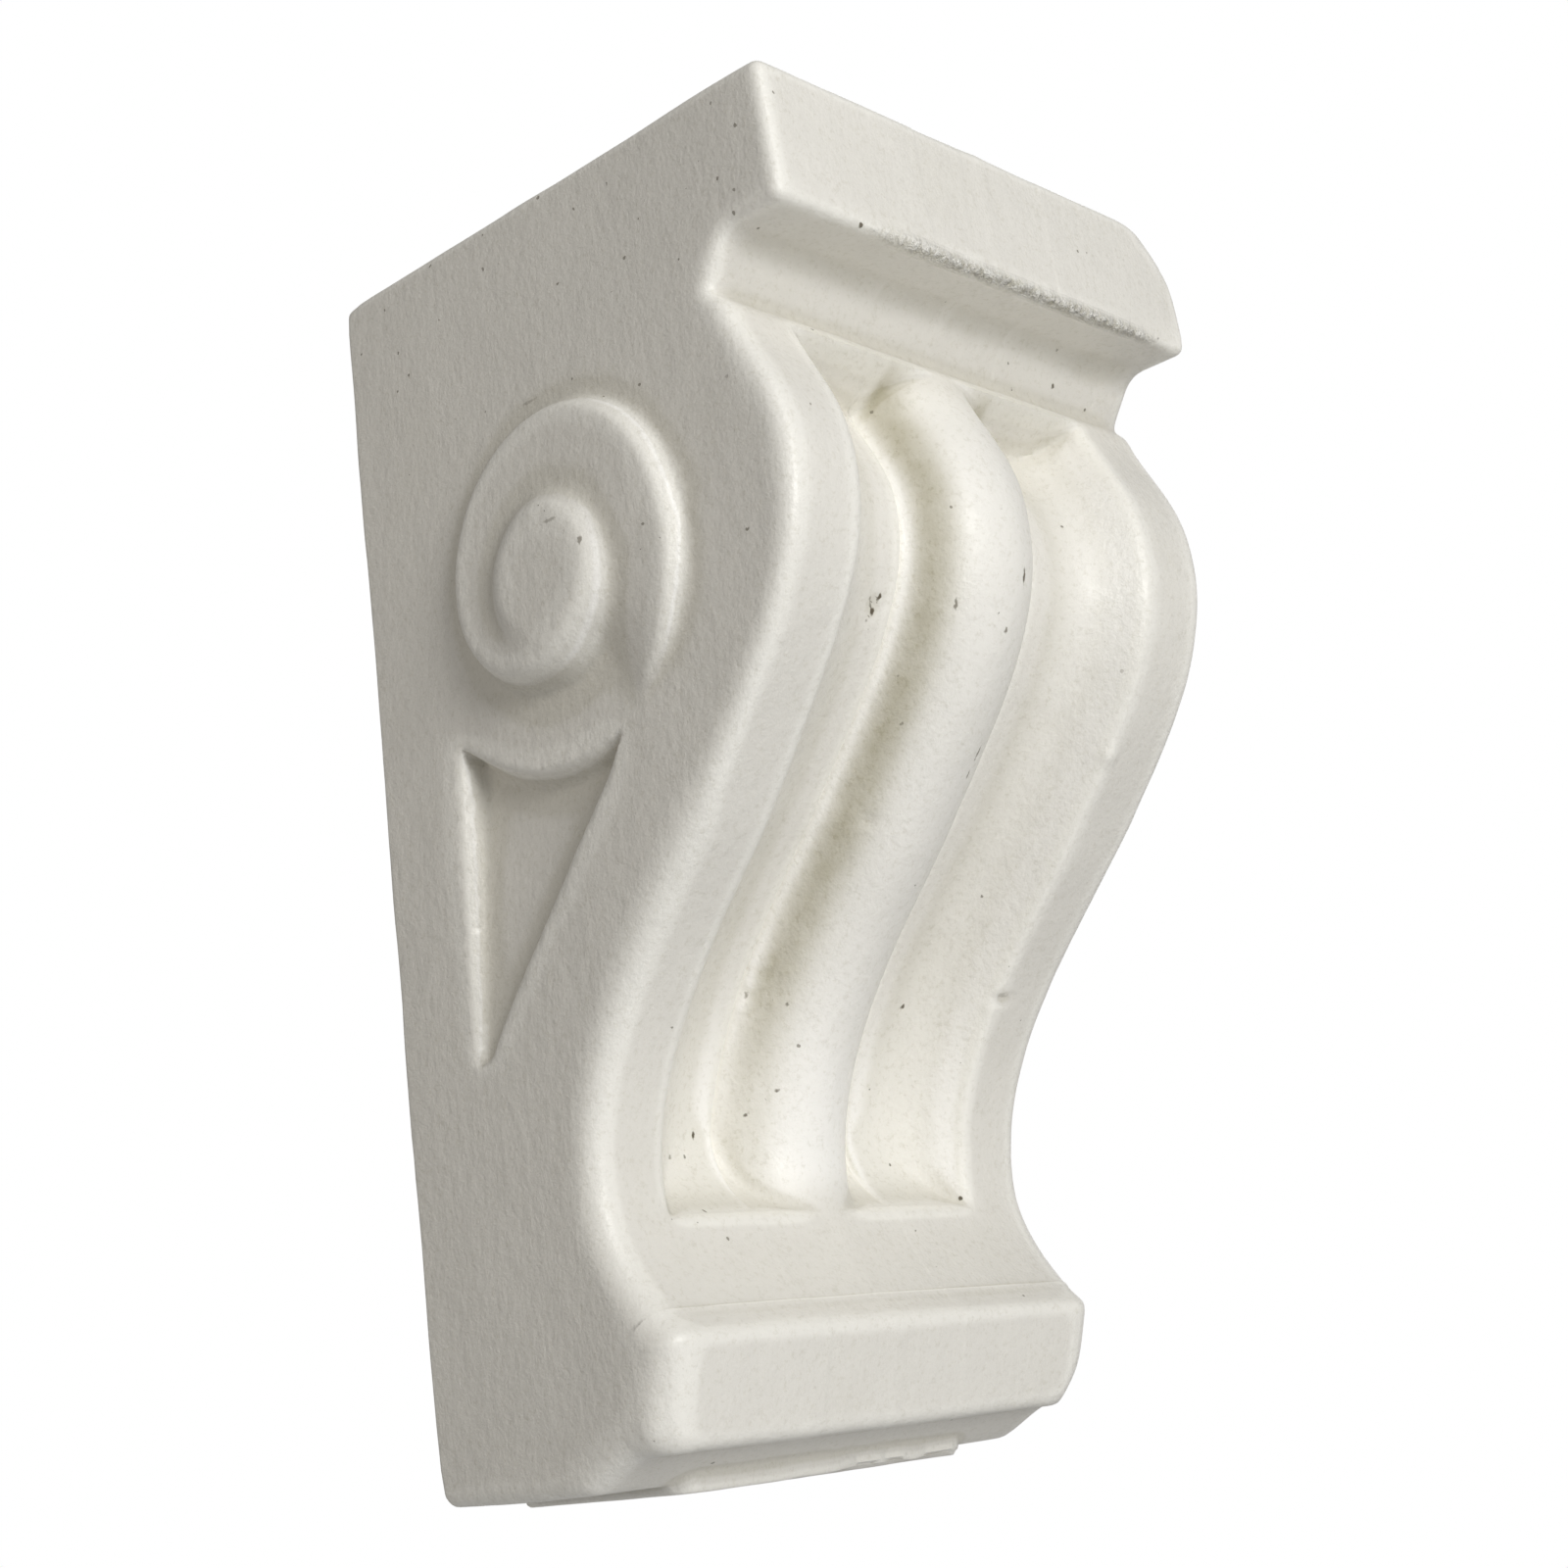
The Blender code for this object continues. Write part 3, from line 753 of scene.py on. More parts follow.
@dataclass
class Casting:
    """The whole corbel as one closed mesh."""

    profile: ProfileSizes = field(default_factory=ProfileSizes)
    flutes: Flutes = field(default_factory=Flutes)
    scroll: Scroll = field(default_factory=Scroll)
    plate: Plate = field(default_factory=Plate)
    side_gap: float = 0.00094
    keep_off: float = 0.55
    blocks: int = 40
    front_start: float = 0.02
    inner_runs: tuple[tuple[float, float, int], ...] = ((0.0, 0.0084, 17), (0.0084, 0.0122, 16),
                                                        (0.0122, 0.0200, 11))
    outer_columns: int = 17
    band_columns: int = 9
    edge_columns: int = 7
    sharp_turn: float = math.radians(50.0)

    def __post_init__(self) -> None:
        """Hangs the wedge under the scroll."""
        self.wedge = Wedge(self.scroll)

    def columns(self, level: np.ndarray, radii: np.ndarray) -> tuple[np.ndarray, np.ndarray]:
        """Places across every row and their depths in the rounded edges.

        The inner columns keep their place, the band's columns spread between the outer flute arris and the
        rounded edge, and the last ones follow a quarter circle round that edge.

        Args:
            level: Level of each row.
            radii: Radius of the rounded edge in each row.

        Returns:
            X and depth, both as (rows, columns).
        """
        flutes = self.flutes
        runs = [np.linspace(start, end, count, endpoint=False) for start, end, count in self.inner_runs]
        runs.append(np.linspace(self.inner_runs[-1][1], flutes.reach, self.outer_columns))
        inner = np.concatenate(runs)
        inner = np.concatenate([-inner[:0:-1], inner]) + flutes.centre
        edge = self.profile.half_width(level)[:, None]
        radius = radii[:, None]
        part = (np.arange(1, self.band_columns + 1) / (self.band_columns + 1.0))[None]
        angle = (np.radians(90.0) * np.arange(self.edge_columns) / (self.edge_columns - 1.0))[None]
        halves = []
        for side in Side:
            start = side.value * inner[-1 if side is Side.RIGHT else 0]
            band = start + (edge - radius - start) * part
            halves.append(side.value * np.concatenate([band, edge - radius * (1.0 - np.sin(angle))], axis=1))
        middle = np.broadcast_to(inner, (len(level), len(inner)))
        across = np.concatenate([halves[0][:, ::-1], middle, halves[1]], axis=1)
        flat = np.zeros((len(level), self.band_columns))
        outer = np.concatenate([flat, radius * (1.0 - np.cos(angle))], axis=1)
        depth = np.concatenate([outer[:, ::-1], np.zeros(middle.shape), outer], axis=1)
        return across, depth

    def strip(self) -> Points:
        """Front, top, underside and back as one closed strip of rows.

        Returns:
            Places as (rows, columns, 3).
        """
        plate = self.plate
        ring, radii, inward = self.profile.ring()
        across, depth = self.columns(ring[:, 1], radii)
        level = np.broadcast_to(ring[:, 1:2], across.shape)
        outward = np.broadcast_to(ring[:, 0:1], across.shape)
        cut = self.flutes.cut(across, level)
        fluted = (outward < -self.front_start) & (cut > 0.0)
        depth = np.where(fluted, np.maximum(depth, cut), depth)
        y = outward + inward[:, 0:1] * depth
        z = level + inward[:, 1:2] * depth
        under = (level < plate.under_level) & (outward > -plate.under_front) & (outward < -plate.under_back)
        z = np.where(under, plate.lower(across, outward, z), z)
        return np.stack([across, y, z], axis=-1)

    def side_net(self, ring: Points) -> tuple[Points, list[tuple[int, ...]], np.ndarray]:
        """Flat net of a side: a triangular grid between the outline, the scroll's lines and the wedge's.

        Args:
            ring: Closed outline of the side as (y, level).

        Returns:
            Net points, triangles as index tuples, and for each point its place in the ring or -1.
        """
        lines = [(line, True) for line in self.wedge.lines()]
        lines += [(line, False) for line in self.scroll.lines()]
        edges = [(index, (index + 1) % len(ring)) for index in range(len(ring))]
        groups = [ring]
        count = len(ring)
        for line, closed in lines:
            last = len(line) if closed else len(line) - 1
            edges += [(count + index, count + (index + 1) % len(line)) for index in range(last)]
            groups.append(line)
            count += len(line)
        fixed = np.concatenate(groups)
        loose = self.grid(ring)
        near = np.full(len(loose), np.inf)
        for group in np.array_split(fixed, self.blocks):
            near = np.minimum(near, np.linalg.norm(loose[:, None] - group[None], axis=2).min(axis=1))
        loose = loose[near > self.keep_off * self.side_gap]
        inside_only, weld = 1, 1e-8
        points = [Vector(point) for point in np.concatenate([fixed, loose])]
        result = delaunay_2d_cdt(points, edges, [], inside_only, weld)
        sources = [source[0] if source and source[0] < len(ring) else -1 for source in result[3]]
        return np.array([tuple(point) for point in result[0]]), result[2], np.array(sources)

    def grid(self, ring: Points) -> Points:
        """Points of a triangular grid that lie inside a closed outline.

        Args:
            ring: The outline as (y, level).

        Returns:
            Points as (y, level), a side gap apart, every second row moved by half a gap.
        """
        low, high = ring.min(axis=0), ring.max(axis=0)
        row_gap = self.side_gap * math.sqrt(0.75)
        rows = np.arange(low[1], high[1], row_gap)
        cols = np.arange(low[0], high[0], self.side_gap)
        grid_y, grid_z = np.meshgrid(cols, rows)
        grid_y = grid_y + 0.5 * self.side_gap * (np.arange(len(rows)) % 2)[:, None]
        points = np.stack([grid_y.ravel(), grid_z.ravel()], axis=1)
        return points[inside_outline(points, ring)]

    def assemble(self) -> tuple[Points, list[tuple[int, ...]]]:
        """The closed casting: the strip, and a net on each side that shares the strip's outermost points.

        Returns:
            Vertices, with levels still counted from the bottom, and faces as index tuples.
        """
        strip = self.strip()
        rows, columns, _ = strip.shape
        index = np.arange(rows * columns).reshape(rows, columns)
        after = np.roll(index, -1, axis=0)
        quads = np.stack([index[:, :-1], after[:, :-1], after[:, 1:], index[:, 1:]], axis=-1).reshape(-1, 4)
        faces = [tuple(quad) for quad in quads.tolist()]
        vertices = [strip.reshape(-1, 3)]
        count = rows * columns
        net, triangles, sources = self.side_net(strip[:, -1, 1:])
        own = sources < 0
        height = self.scroll.rise(net) - self.wedge.sink(net)
        number = np.empty(len(net), int)
        for side in Side:
            column, order = (0, -1) if side is Side.LEFT else (columns - 1, 1)
            across = side.value * (self.profile.half_width(net[:, 1]) + height)
            number[~own] = index[sources[~own], column]
            number[own] = count + np.arange(own.sum())
            count += int(own.sum())
            vertices.append(np.column_stack([across, net])[own])
            faces += [tuple(number[list(face)][::order].tolist()) for face in triangles]
        return np.concatenate(vertices), faces

    def build(self) -> bpy.types.Object:
        """Makes the worn casting.

        Returns:
            The object, its mesh lowered so that the frame's origin is halfway up.
        """
        name = "plaster_corbel"
        vertices, faces = self.assemble()
        mesh = bpy.data.meshes.new(name)
        mesh.from_pydata(vertices.tolist(), [], faces)
        mesh.update(calc_edges=True)
        Wear(self).apply(mesh)
        mesh.transform(Matrix.Translation((0.0, 0.0, -0.5 * self.profile.height)))
        mesh.shade_smooth()
        mesh.set_sharp_from_angle(angle=self.sharp_turn)
        item = bpy.data.objects.new(name, mesh)
        bpy.context.scene.collection.objects.link(item)
        return item


class Face(Enum):
    """The faces of the casting that carry single marks."""

    FRONT = "front"
    SIDE = "side"


@dataclass(frozen=True)
class Blunt:
    """A corner worn off by a sphere: the corner, the directions into the casting and the depth of loss."""

    corner: tuple[float, float, float]
    inward: tuple[int, int, int]
    depth: float
    reach: float = 0.015
    soft: float = 0.0008
    beyond: float = 0.2

    def apply(self, places: Points) -> Points:
        """Pulls everything that stands outside the sphere back onto it, with a soft passage at its edge.

        Args:
            places: Places of the mesh.

        Returns:
            The places, moved where they are worn.
        """
        way = np.array(self.inward, float) * self.reach
        centre = np.array(self.corner) + way
        radius = np.linalg.norm(way) - self.depth
        offset = places - centre
        near = np.all(-offset * self.inward > -self.beyond * self.reach, axis=1)
        length = np.linalg.norm(offset, axis=1)
        gap = np.clip(length - radius + self.soft, 0.0, 2.0 * self.soft)
        excess = np.maximum(gap * gap / (4.0 * self.soft), length - radius) * near
        return places - offset / np.maximum(length, 1e-9)[:, None] * excess[:, None]


@dataclass(frozen=True)
class Dent:
    """A dent, or with a negative depth a lump, with a bell-shaped outline."""

    place: tuple[float, float]
    size: tuple[float, float]
    depth: float

    def push(self, places: Points, front: np.ndarray) -> np.ndarray:
        """How far the dent moves each place inward.

        Args:
            places: Places of the mesh.
            front: Share of each place in the front, from 0 to 1.

        Returns:
            One distance per place.
        """
        across = (places[:, 0] - self.place[0]) / self.size[0]
        up = (places[:, 2] - self.place[1]) / self.size[1]
        return self.depth * front * np.exp(-(across**2 + up**2) ** 1.5)


@dataclass(frozen=True)
class Mark:
    """A pinhole, speck or short scratch: its place on a face, its half sizes and how dark it is."""

    place: tuple[float, float]
    size: tuple[float, float]
    dark: float = 1.0
    face: Face = Face.FRONT
    search: float = 0.0006
    through: float = 0.0012

    def centre(self, places: Points) -> Points:
        """The mark's place in space: the outermost place of the mesh near it.

        Args:
            places: Places of the mesh, with levels counted from the bottom.

        Returns:
            One place.
        """
        front = self.face is Face.FRONT
        flat = places[:, [0, 2]] if front else places[:, [1, 2]]
        gap = np.linalg.norm(flat - np.array(self.place), axis=1)
        outward = places[:, 1] if front else places[:, 0]
        near = gap < max(self.search, gap.min() * 1.1)
        index = np.flatnonzero(near)[np.argmin(outward[near])]
        if front:
            return np.array([self.place[0], places[index, 1], self.place[1]])
        return np.array([places[index, 0], self.place[0], self.place[1]])

    def extent(self) -> tuple[float, float, float]:
        """Half sizes of the mark, the one through the surface the same for all marks.

        Returns:
            Half sizes along X, Y and Z.
        """
        if self.face is Face.FRONT:
            return self.size[0], self.through, self.size[1]
        return self.through, *self.size


def vertex_places(mesh: bpy.types.Mesh) -> Points:
    """Places of the mesh's vertices.

    Args:
        mesh: The mesh.

    Returns:
        An (n, 3) array.
    """
    flat = np.empty(len(mesh.vertices) * 3)
    mesh.vertices.foreach_get("co", flat)
    return flat.reshape(-1, 3)


def store(mesh: bpy.types.Mesh, name: str, values: np.ndarray) -> None:
    """Keeps one value or one vector per vertex as an attribute."""
    kind, part = ("FLOAT", "value") if values.ndim == 1 else ("FLOAT_VECTOR", "vector")
    mesh.attributes.new(name, kind, "POINT").data.foreach_set(part, values.ravel())


@dataclass
class Wear:
    """Hand finish and damage of the casting: waviness, rubbed arrises, a crumbled edge and an uneven back."""

    casting: Casting
    wave: float = 0.00020
    ripple: float = 0.00005
    crumble: float = 0.00055
    trowel: float = 0.00045
    plate_loss: float = 0.0007
    rough: float = 0.00014
    wave_cell: float = 0.024
    ripple_cell: float = 0.005
    crumb_cells: Pair = (0.0011, 0.0024)
    crumb_least: float = 0.25
    trowel_cell: float = 0.009
    trowel_stretch: tuple[float, float, float] = (1.0, 1.0, 0.35)
    trowel_depth: float = 0.6
    plate_cell: float = 0.0030
    rough_cell: float = 0.0010
    rub_cell: float = 0.007
    front_start: float = -0.020
    flute_share: float = 0.45
    front_fade: Pair = (-0.010, -0.020)
    rub_front: Pair = (-0.012, -0.020)
    rub_inside: Pair = (0.029, 0.026)
    rub_least: float = 0.10
    rub_more: float = 0.25
    rub_inside_loss: float = 0.6
    rub_rounds: int = 4
    shade_rounds: int = 6
    hollow_rounds: int = 12
    crumble_left: Pair = (-0.030, -0.008)
    crumble_right: Pair = (0.035, 0.026)
    crumble_reach: Pair = (0.0018, 0.0004)
    back_fade: Pair = (-0.0010, 0.0)
    plate_level: Pair = (-0.0004, -0.0009)
    plate_front: Pair = (-0.0255, -0.0270)
    plate_across: Pair = (-0.010, 0.004)
    rough_place: Pair = (-0.0100, 0.0560)
    rough_reach: Pair = (0.0026, 0.0010)
    # Painted light in the flutes, a painted highlight at the roll's foot, and painted light on the side's
    # front-facing steps.
    lit_blur: float = 0.0002
    lit_rim: Pair = (0.0024, 0.0014)
    lit_strip: Pair = (0.0190, 0.0160)
    lit_level: Pair = (0.062, 0.040)
    lit_least: float = 0.42
    lit_more: float = 0.45
    lit_strip_loss: float = 0.38
    lit_edge: Pair = (0.0003, 0.0012)
    lit_foot: float = 0.006
    lit_top: Pair = (0.001, 0.006)
    side_start: float = 0.0365
    side_slopes: Pair = (0.35, 0.95)
    probe: float = 0.0004
    dents: tuple[Dent, ...] = (
        Dent((0.0273, 0.0544), (0.0017, 0.0006), 0.0005),
        Dent((-0.0077, 0.0720), (0.0006, 0.0006), 0.0003),
        Dent((0.0265, 0.0808), (0.0008, 0.0009), -0.0004),
        Dent((-0.0153, 0.0938), (0.0012, 0.0014), 0.0003),
        Dent((-0.0096, 0.0566), (0.0009, 0.0030), 0.0003),
        Dent((0.0300, 0.1330), (0.0060, 0.0030), 0.0003),
        Dent((-0.0330, 0.0870), (0.0100, 0.0120), 0.0004),
    )

    def blunts(self) -> tuple[Blunt, ...]:
        """The corners that are worn off, the slab's front right one most.

        Returns:
            One blunt per corner, in the order in which they are worn.
        """
        size = self.casting.profile
        top, low = 0.5 * size.top_width, float(size.half_width(np.array(size.block_underside)))
        back = float(size.half_width(np.array(0.0)))
        return (
            Blunt((top, -size.projection, size.height), (-1, 1, -1), 0.0045),
            Blunt((-top, -size.projection, size.height), (1, 1, -1), 0.0009),
            Blunt((low, -size.block_low_face, size.block_underside), (-1, 1, 1), 0.0034),
            Blunt((-low, -size.block_low_face, size.block_underside), (1, 1, 1), 0.0024),
            Blunt((-back, 0.0, 0.0), (1, -1, 1), 0.0013),
            Blunt((back, 0.0, 0.0), (-1, -1, 1), 0.0016),
            Blunt((-top, 0.0, size.height), (1, -1, -1), 0.0011, 0.024),
            Blunt((top, 0.0, size.height), (-1, -1, -1), 0.0018),
        )

    def apply(self, mesh: bpy.types.Mesh) -> None:
        """Wears the mesh and stores its painted shade, its painted light, its crumbled places and how hollow
        each place is.

        Args:
            mesh: The new casting, with levels counted from the bottom.
        """
        places = vertex_places(mesh)
        pairs = np.empty(len(mesh.edges) * 2, int)
        mesh.edges.foreach_get("vertices", pairs)
        pairs = pairs.reshape(-1, 2)
        painted_shade = self.flute_shades(places, pairs)
        # Painted light in the flutes and on the side's steps.
        clean = self.painted_lights(places)
        crumbled = self.crumbled(places)
        for blunt in self.blunts():
            places = blunt.apply(places)
        places = self.rub(places, pairs)
        normal = self.normals(mesh, places)
        places = places + normal * self.relief(places)[:, None]
        normal = self.normals(mesh, places)
        hollow = self.hollowness(places, normal, pairs)
        for name, values in (("painted_shade", painted_shade), ("clean", clean), ("crumbled", crumbled), ("hollow", hollow)):
            store(mesh, name, values)

    @staticmethod
    def normals(mesh: bpy.types.Mesh, places: Points) -> Points:
        """Moves the mesh's vertices and reads its normals there.

        Args:
            mesh: The mesh.
            places: New places of its vertices.

        Returns:
            One normal per vertex.
        """
        mesh.vertices.foreach_set("co", places.ravel())
        mesh.update()
        normal = np.empty(len(mesh.vertices) * 3)
        mesh.vertices.foreach_get("normal", normal)
        return normal.reshape(-1, 3)

    def flute_shades(self, places: Points, pairs: np.ndarray) -> np.ndarray:
        """Painted shade in the flutes, spread a little along the surface.

        Args:
            places: Places of the mesh.
            pairs: Vertex pairs of its edges.

        Returns:
            One share per place.
        """
        front = places[:, 1] < self.front_start
        inside = np.abs(places[:, 0]) < self.casting.profile.bottom_width * self.flute_share
        # Painted shade of the flutes, kept on the front only.
        painted_shade = np.where(front & inside, self.casting.flutes.painted_shade(places[:, 0], places[:, 2]), 0.0)[:, None]
        for _ in range(self.shade_rounds):
            painted_shade = 0.5 * painted_shade + 0.5 * self.neighbours(painted_shade, pairs)
        return painted_shade[:, 0]

    def neighbours(self, values: Points, pairs: np.ndarray) -> Points:
        """Mean of each place's neighbours along the mesh's edges.

        Args:
            values: One row of values per place.
            pairs: Vertex pairs of the edges.

        Returns:
            One row of means per place.
        """
        total = np.zeros_like(values)
        number = np.bincount(pairs.ravel(), minlength=len(values))
        for axis in range(values.shape[1]):
            for here, there in (pairs.T, pairs.T[::-1]):
                total[:, axis] += np.bincount(here, values[there, axis], len(values))
        return total / number[:, None]

    def rub(self, places: Points, pairs: np.ndarray) -> Points:
        """Softens arrises: each place moves towards its neighbours' mean, by more where the casting is worn.

        Args:
            places: Places of the mesh.
            pairs: Vertex pairs of its edges.

        Returns:
            The new places.
        """
        noise = 0.5 + 0.5 * layered_noise(places, self.rub_cell, Seed.RUB)
        front = smoothstep(*self.rub_front, places[:, 1])
        inside = smoothstep(*self.rub_inside, np.abs(places[:, 0]))
        strength = (self.rub_least + self.rub_more * noise * front) * (1.0 - self.rub_inside_loss * inside)
        strength = np.clip(strength, 0.0, 0.9)[:, None]
        for _ in range(self.rub_rounds):
            places = places + strength * (self.neighbours(places, pairs) - places)
        return places

    def relief(self, places: Points) -> np.ndarray:
        """Height added along the normal: waves, the crumbled arris, the filled back, the plate's loss, dents.

        Args:
            places: Places of the mesh.

        Returns:
            One height per place.
        """
        across, outward, level = places.T
        push = self.wave * layered_noise(places, self.wave_cell, Seed.WAVE)
        push = push + self.ripple * layered_noise(places, self.ripple_cell, Seed.RIPPLE)
        crumbs = self.crumb_least + lattice_noise(places, self.crumb_cells[0], Seed.FINE_CRUMBS)
        crumbs = crumbs + 0.5 * lattice_noise(places, self.crumb_cells[1], Seed.COARSE_CRUMBS)
        push = push - self.crumble * self.crumbled(places) * np.maximum(0.0, crumbs)
        sweep = layered_noise(places * self.trowel_stretch, self.trowel_cell, Seed.TROWEL) - self.trowel_depth
        push = push + self.trowel * smoothstep(*self.back_fade, outward) * sweep
        plate = smoothstep(*self.plate_level, level) * smoothstep(*self.plate_front, outward)
        loss = 0.5 + 0.5 * lattice_noise(places, self.plate_cell, Seed.PLATE)
        loss = smoothstep(*self.plate_across, across) * loss
        push = push - self.plate_loss * plate * np.maximum(loss, 0.0)
        front = smoothstep(*self.front_fade, outward)
        gap = np.hypot(across - self.rough_place[0], 0.5 * (level - self.rough_place[1]))
        rough = self.rough * smoothstep(*self.rough_reach, gap) * front
        push = push + rough * lattice_noise(places, self.rough_cell, Seed.ROUGH)
        for dent in self.dents:
            push = push - dent.push(places, front)
        return push

    def crumbled(self, places: Points) -> np.ndarray:
        """Share of crumbling, from 0 to 1: along the slab's lower front arris, mostly in its right half.

        Args:
            places: Places of the mesh.

        Returns:
            One share per place.
        """
        size = self.casting.profile
        across, outward, level = places.T
        edge = np.hypot(outward + size.projection, level - (size.height - size.slab_height))
        along = smoothstep(*self.crumble_left, across) * smoothstep(*self.crumble_right, across)
        return smoothstep(*self.crumble_reach, edge) * along

    def painted_lights(self, places: Points) -> np.ndarray:
        """Share of painted light, from 0 to 1: in the flutes, with a painted highlight beside the roll, and
        on the side's steps that face the front.

        Args:
            places: Places of the mesh.

        Returns:
            One share per place.
        """
        flutes, blur = self.casting.flutes, self.lit_blur
        across, outward, level = places.T
        side = np.abs(across - flutes.centre)
        foot = flutes.step_place + flutes.step_run
        # Painted highlight: a bright rim at the foot of the roll.
        rim = smoothstep(foot + blur, foot - blur, side)
        rim = rim * smoothstep(foot - self.lit_rim[0], foot - self.lit_rim[1], side)
        strip = smoothstep(foot - blur, foot + blur, side) * smoothstep(*self.lit_strip, side)
        # Painted light on the flute floors, more towards their lower end.
        share = self.lit_least + self.lit_more * smoothstep(*self.lit_level, level)
        share = share * smoothstep(flutes.reach + self.lit_edge[0], flutes.reach - self.lit_edge[1], side)
        loss = self.lit_strip_loss * strip * smoothstep(*self.lit_level[::-1], level)
        share = np.maximum(share - loss, rim)
        share = share * smoothstep(flutes.foot_level, flutes.foot_level + self.lit_foot, level)
        top = flutes.top_level
        share = share * smoothstep(top - self.lit_top[0], top - self.lit_top[1], level)
        share = share * smoothstep(*self.front_fade, outward)
        flat = np.abs(across) > self.side_start
        # Painted light on the side's steps that face the front.
        share[flat] = smoothstep(*self.side_slopes, self.side_slope(places[flat][:, 1:]))
        return share

    def side_slope(self, side: Points) -> np.ndarray:
        """How steeply the side rises towards the back: positive on steps that face the front.

        Args:
            side: Places on the side as (y, level).

        Returns:
            One slope per place.
        """
        scroll, wedge = self.casting.scroll, self.casting.wedge
        ahead, behind = side + (self.probe, 0.0), side - (self.probe, 0.0)
        rise = scroll.rise(ahead) - wedge.sink(ahead) - scroll.rise(behind) + wedge.sink(behind)
        return rise / (2.0 * self.probe)

    def hollowness(self, places: Points, normal: Points, pairs: np.ndarray) -> np.ndarray:
        """How far the evened-out surface stands in front of each place.

        Args:
            places: Places of the mesh.
            normal: Its normals.
            pairs: Vertex pairs of its edges.

        Returns:
            One distance per place, in millimetres.
        """
        smooth = places.copy()
        for _ in range(self.hollow_rounds):
            smooth = self.neighbours(smooth, pairs)
        return np.sum((smooth - places) * normal, axis=1) * 1000.0


Socket = bpy.types.NodeSocket | float | tuple
Noise = tuple[float, float, float]
Colour = tuple[float, float, float, float]
VECTOR = "NodeSocketVector"
FLOAT = "NodeSocketFloat"
COLOUR = "NodeSocketColor"


@dataclass
class Sheet:
    """A node tree with short ways to add nodes and join their sockets."""

    tree: bpy.types.NodeTree

    def node(self, kind: str, settings: dict | None = None, inputs: dict | None = None) -> bpy.types.Node:
        """A new node.

        Args:
            kind: Type of the node.
            settings: Its properties by name.
            inputs: Sockets or constants by the input's name or number.

        Returns:
            The node.
        """
        node = self.tree.nodes.new(kind)
        for name, value in (settings or {}).items():
            setattr(node, name, value)
        for name, value in (inputs or {}).items():
            self.join(value, node.inputs[name])
        return node

    def join(self, value: Socket, target: bpy.types.NodeSocket) -> None:
        """Links a socket to the target, or sets the target's constant.

        Args:
            value: The socket or constant.
            target: An input.
        """
        if isinstance(value, bpy.types.NodeSocket):
            self.tree.links.new(value, target)
        else:
            target.default_value = value

    def math(self, operation: str, first: Socket, second: Socket = 0.0) -> bpy.types.NodeSocket:
        """Result of a math node."""
        return self.node("ShaderNodeMath", {"operation": operation}, {0: first, 1: second}).outputs[0]

    def scaled(self, total: Socket, value: Socket, factor: Socket) -> bpy.types.NodeSocket:
        """The total plus a value times a factor."""
        return self.math("ADD", total, self.math("MULTIPLY", value, factor))

    def vector(self, operation: str, inputs: dict, output: str = "Vector") -> bpy.types.NodeSocket:
        """Result of a vector math node."""
        return self.node("ShaderNodeVectorMath", {"operation": operation}, inputs).outputs[output]

    def attribute(self, name: str, output: str = "Fac") -> bpy.types.NodeSocket:
        """A value that the mesh keeps for each vertex."""
        return self.node("ShaderNodeAttribute", {"attribute_name": name}).outputs[output]

    def span(self, value: Socket, low: float, high: float, first: float = 0.0,
             last: float = 1.0) -> bpy.types.NodeSocket:
        """The value moved smoothly from one span, low to high, to another, first to last."""
        inputs = {"Value": value, "From Min": low, "From Max": high, "To Min": first, "To Max": last}
        return self.node("ShaderNodeMapRange", {"interpolation_type": "SMOOTHSTEP"}, inputs).outputs["Result"]

    def noise(self, place: Socket, kind: Noise) -> bpy.types.NodeSocket:
        """Noise from 0 to 1, its kind given as scale (cells of 1/scale metres), detail and roughness."""
        inputs = dict(zip(("Vector", "Scale", "Detail", "Roughness"), (place, *kind)))
        return self.node("ShaderNodeTexNoise", {}, inputs).outputs["Fac"]

    def blend(self, share: Socket, first: Socket, second: Socket) -> bpy.types.NodeSocket:
        """Mix of two colours, whose inputs and output on the mix node are reached by number."""
        return self.node("ShaderNodeMix", {"data_type": "RGBA"}, {0: share, 6: first, 7: second}).outputs[2]

    def group(self, tree: bpy.types.NodeTree, inputs: dict) -> bpy.types.Node:
        """An instance of a node group."""
        return self.node("ShaderNodeGroup", {"node_tree": tree}, inputs)


def new_material(name: str) -> tuple[bpy.types.Material, bpy.types.Node]:
    """A new material and its shader.

    Args:
        name: Name of the material.

    Returns:
        The material and its shader node.
    """
    material = bpy.data.materials.new(name)
    material.use_nodes = True
    return material, material.node_tree.nodes["Principled BSDF"]


def new_group(name: str, inputs: dict[str, str],
              outputs: dict[str, str]) -> tuple[Sheet, dict, bpy.types.Node]:
    """A new shader node group.

    Args:
        name: Name of the group.
        inputs: Socket types by name.
        outputs: Socket types by name.

    Returns:
        The group's sheet, its input sockets by name and its output node.
    """
    tree = bpy.data.node_groups.new(name, "ShaderNodeTree")
    for socket, kind in inputs.items():
        tree.interface.new_socket(socket, in_out="INPUT", socket_type=kind)
    for socket, kind in outputs.items():
        tree.interface.new_socket(socket, in_out="OUTPUT", socket_type=kind)
    first = tree.nodes.new("NodeGroupInput")
    last = tree.nodes.new("NodeGroupOutput")
    return Sheet(tree), {name: first.outputs[name] for name in inputs}, last


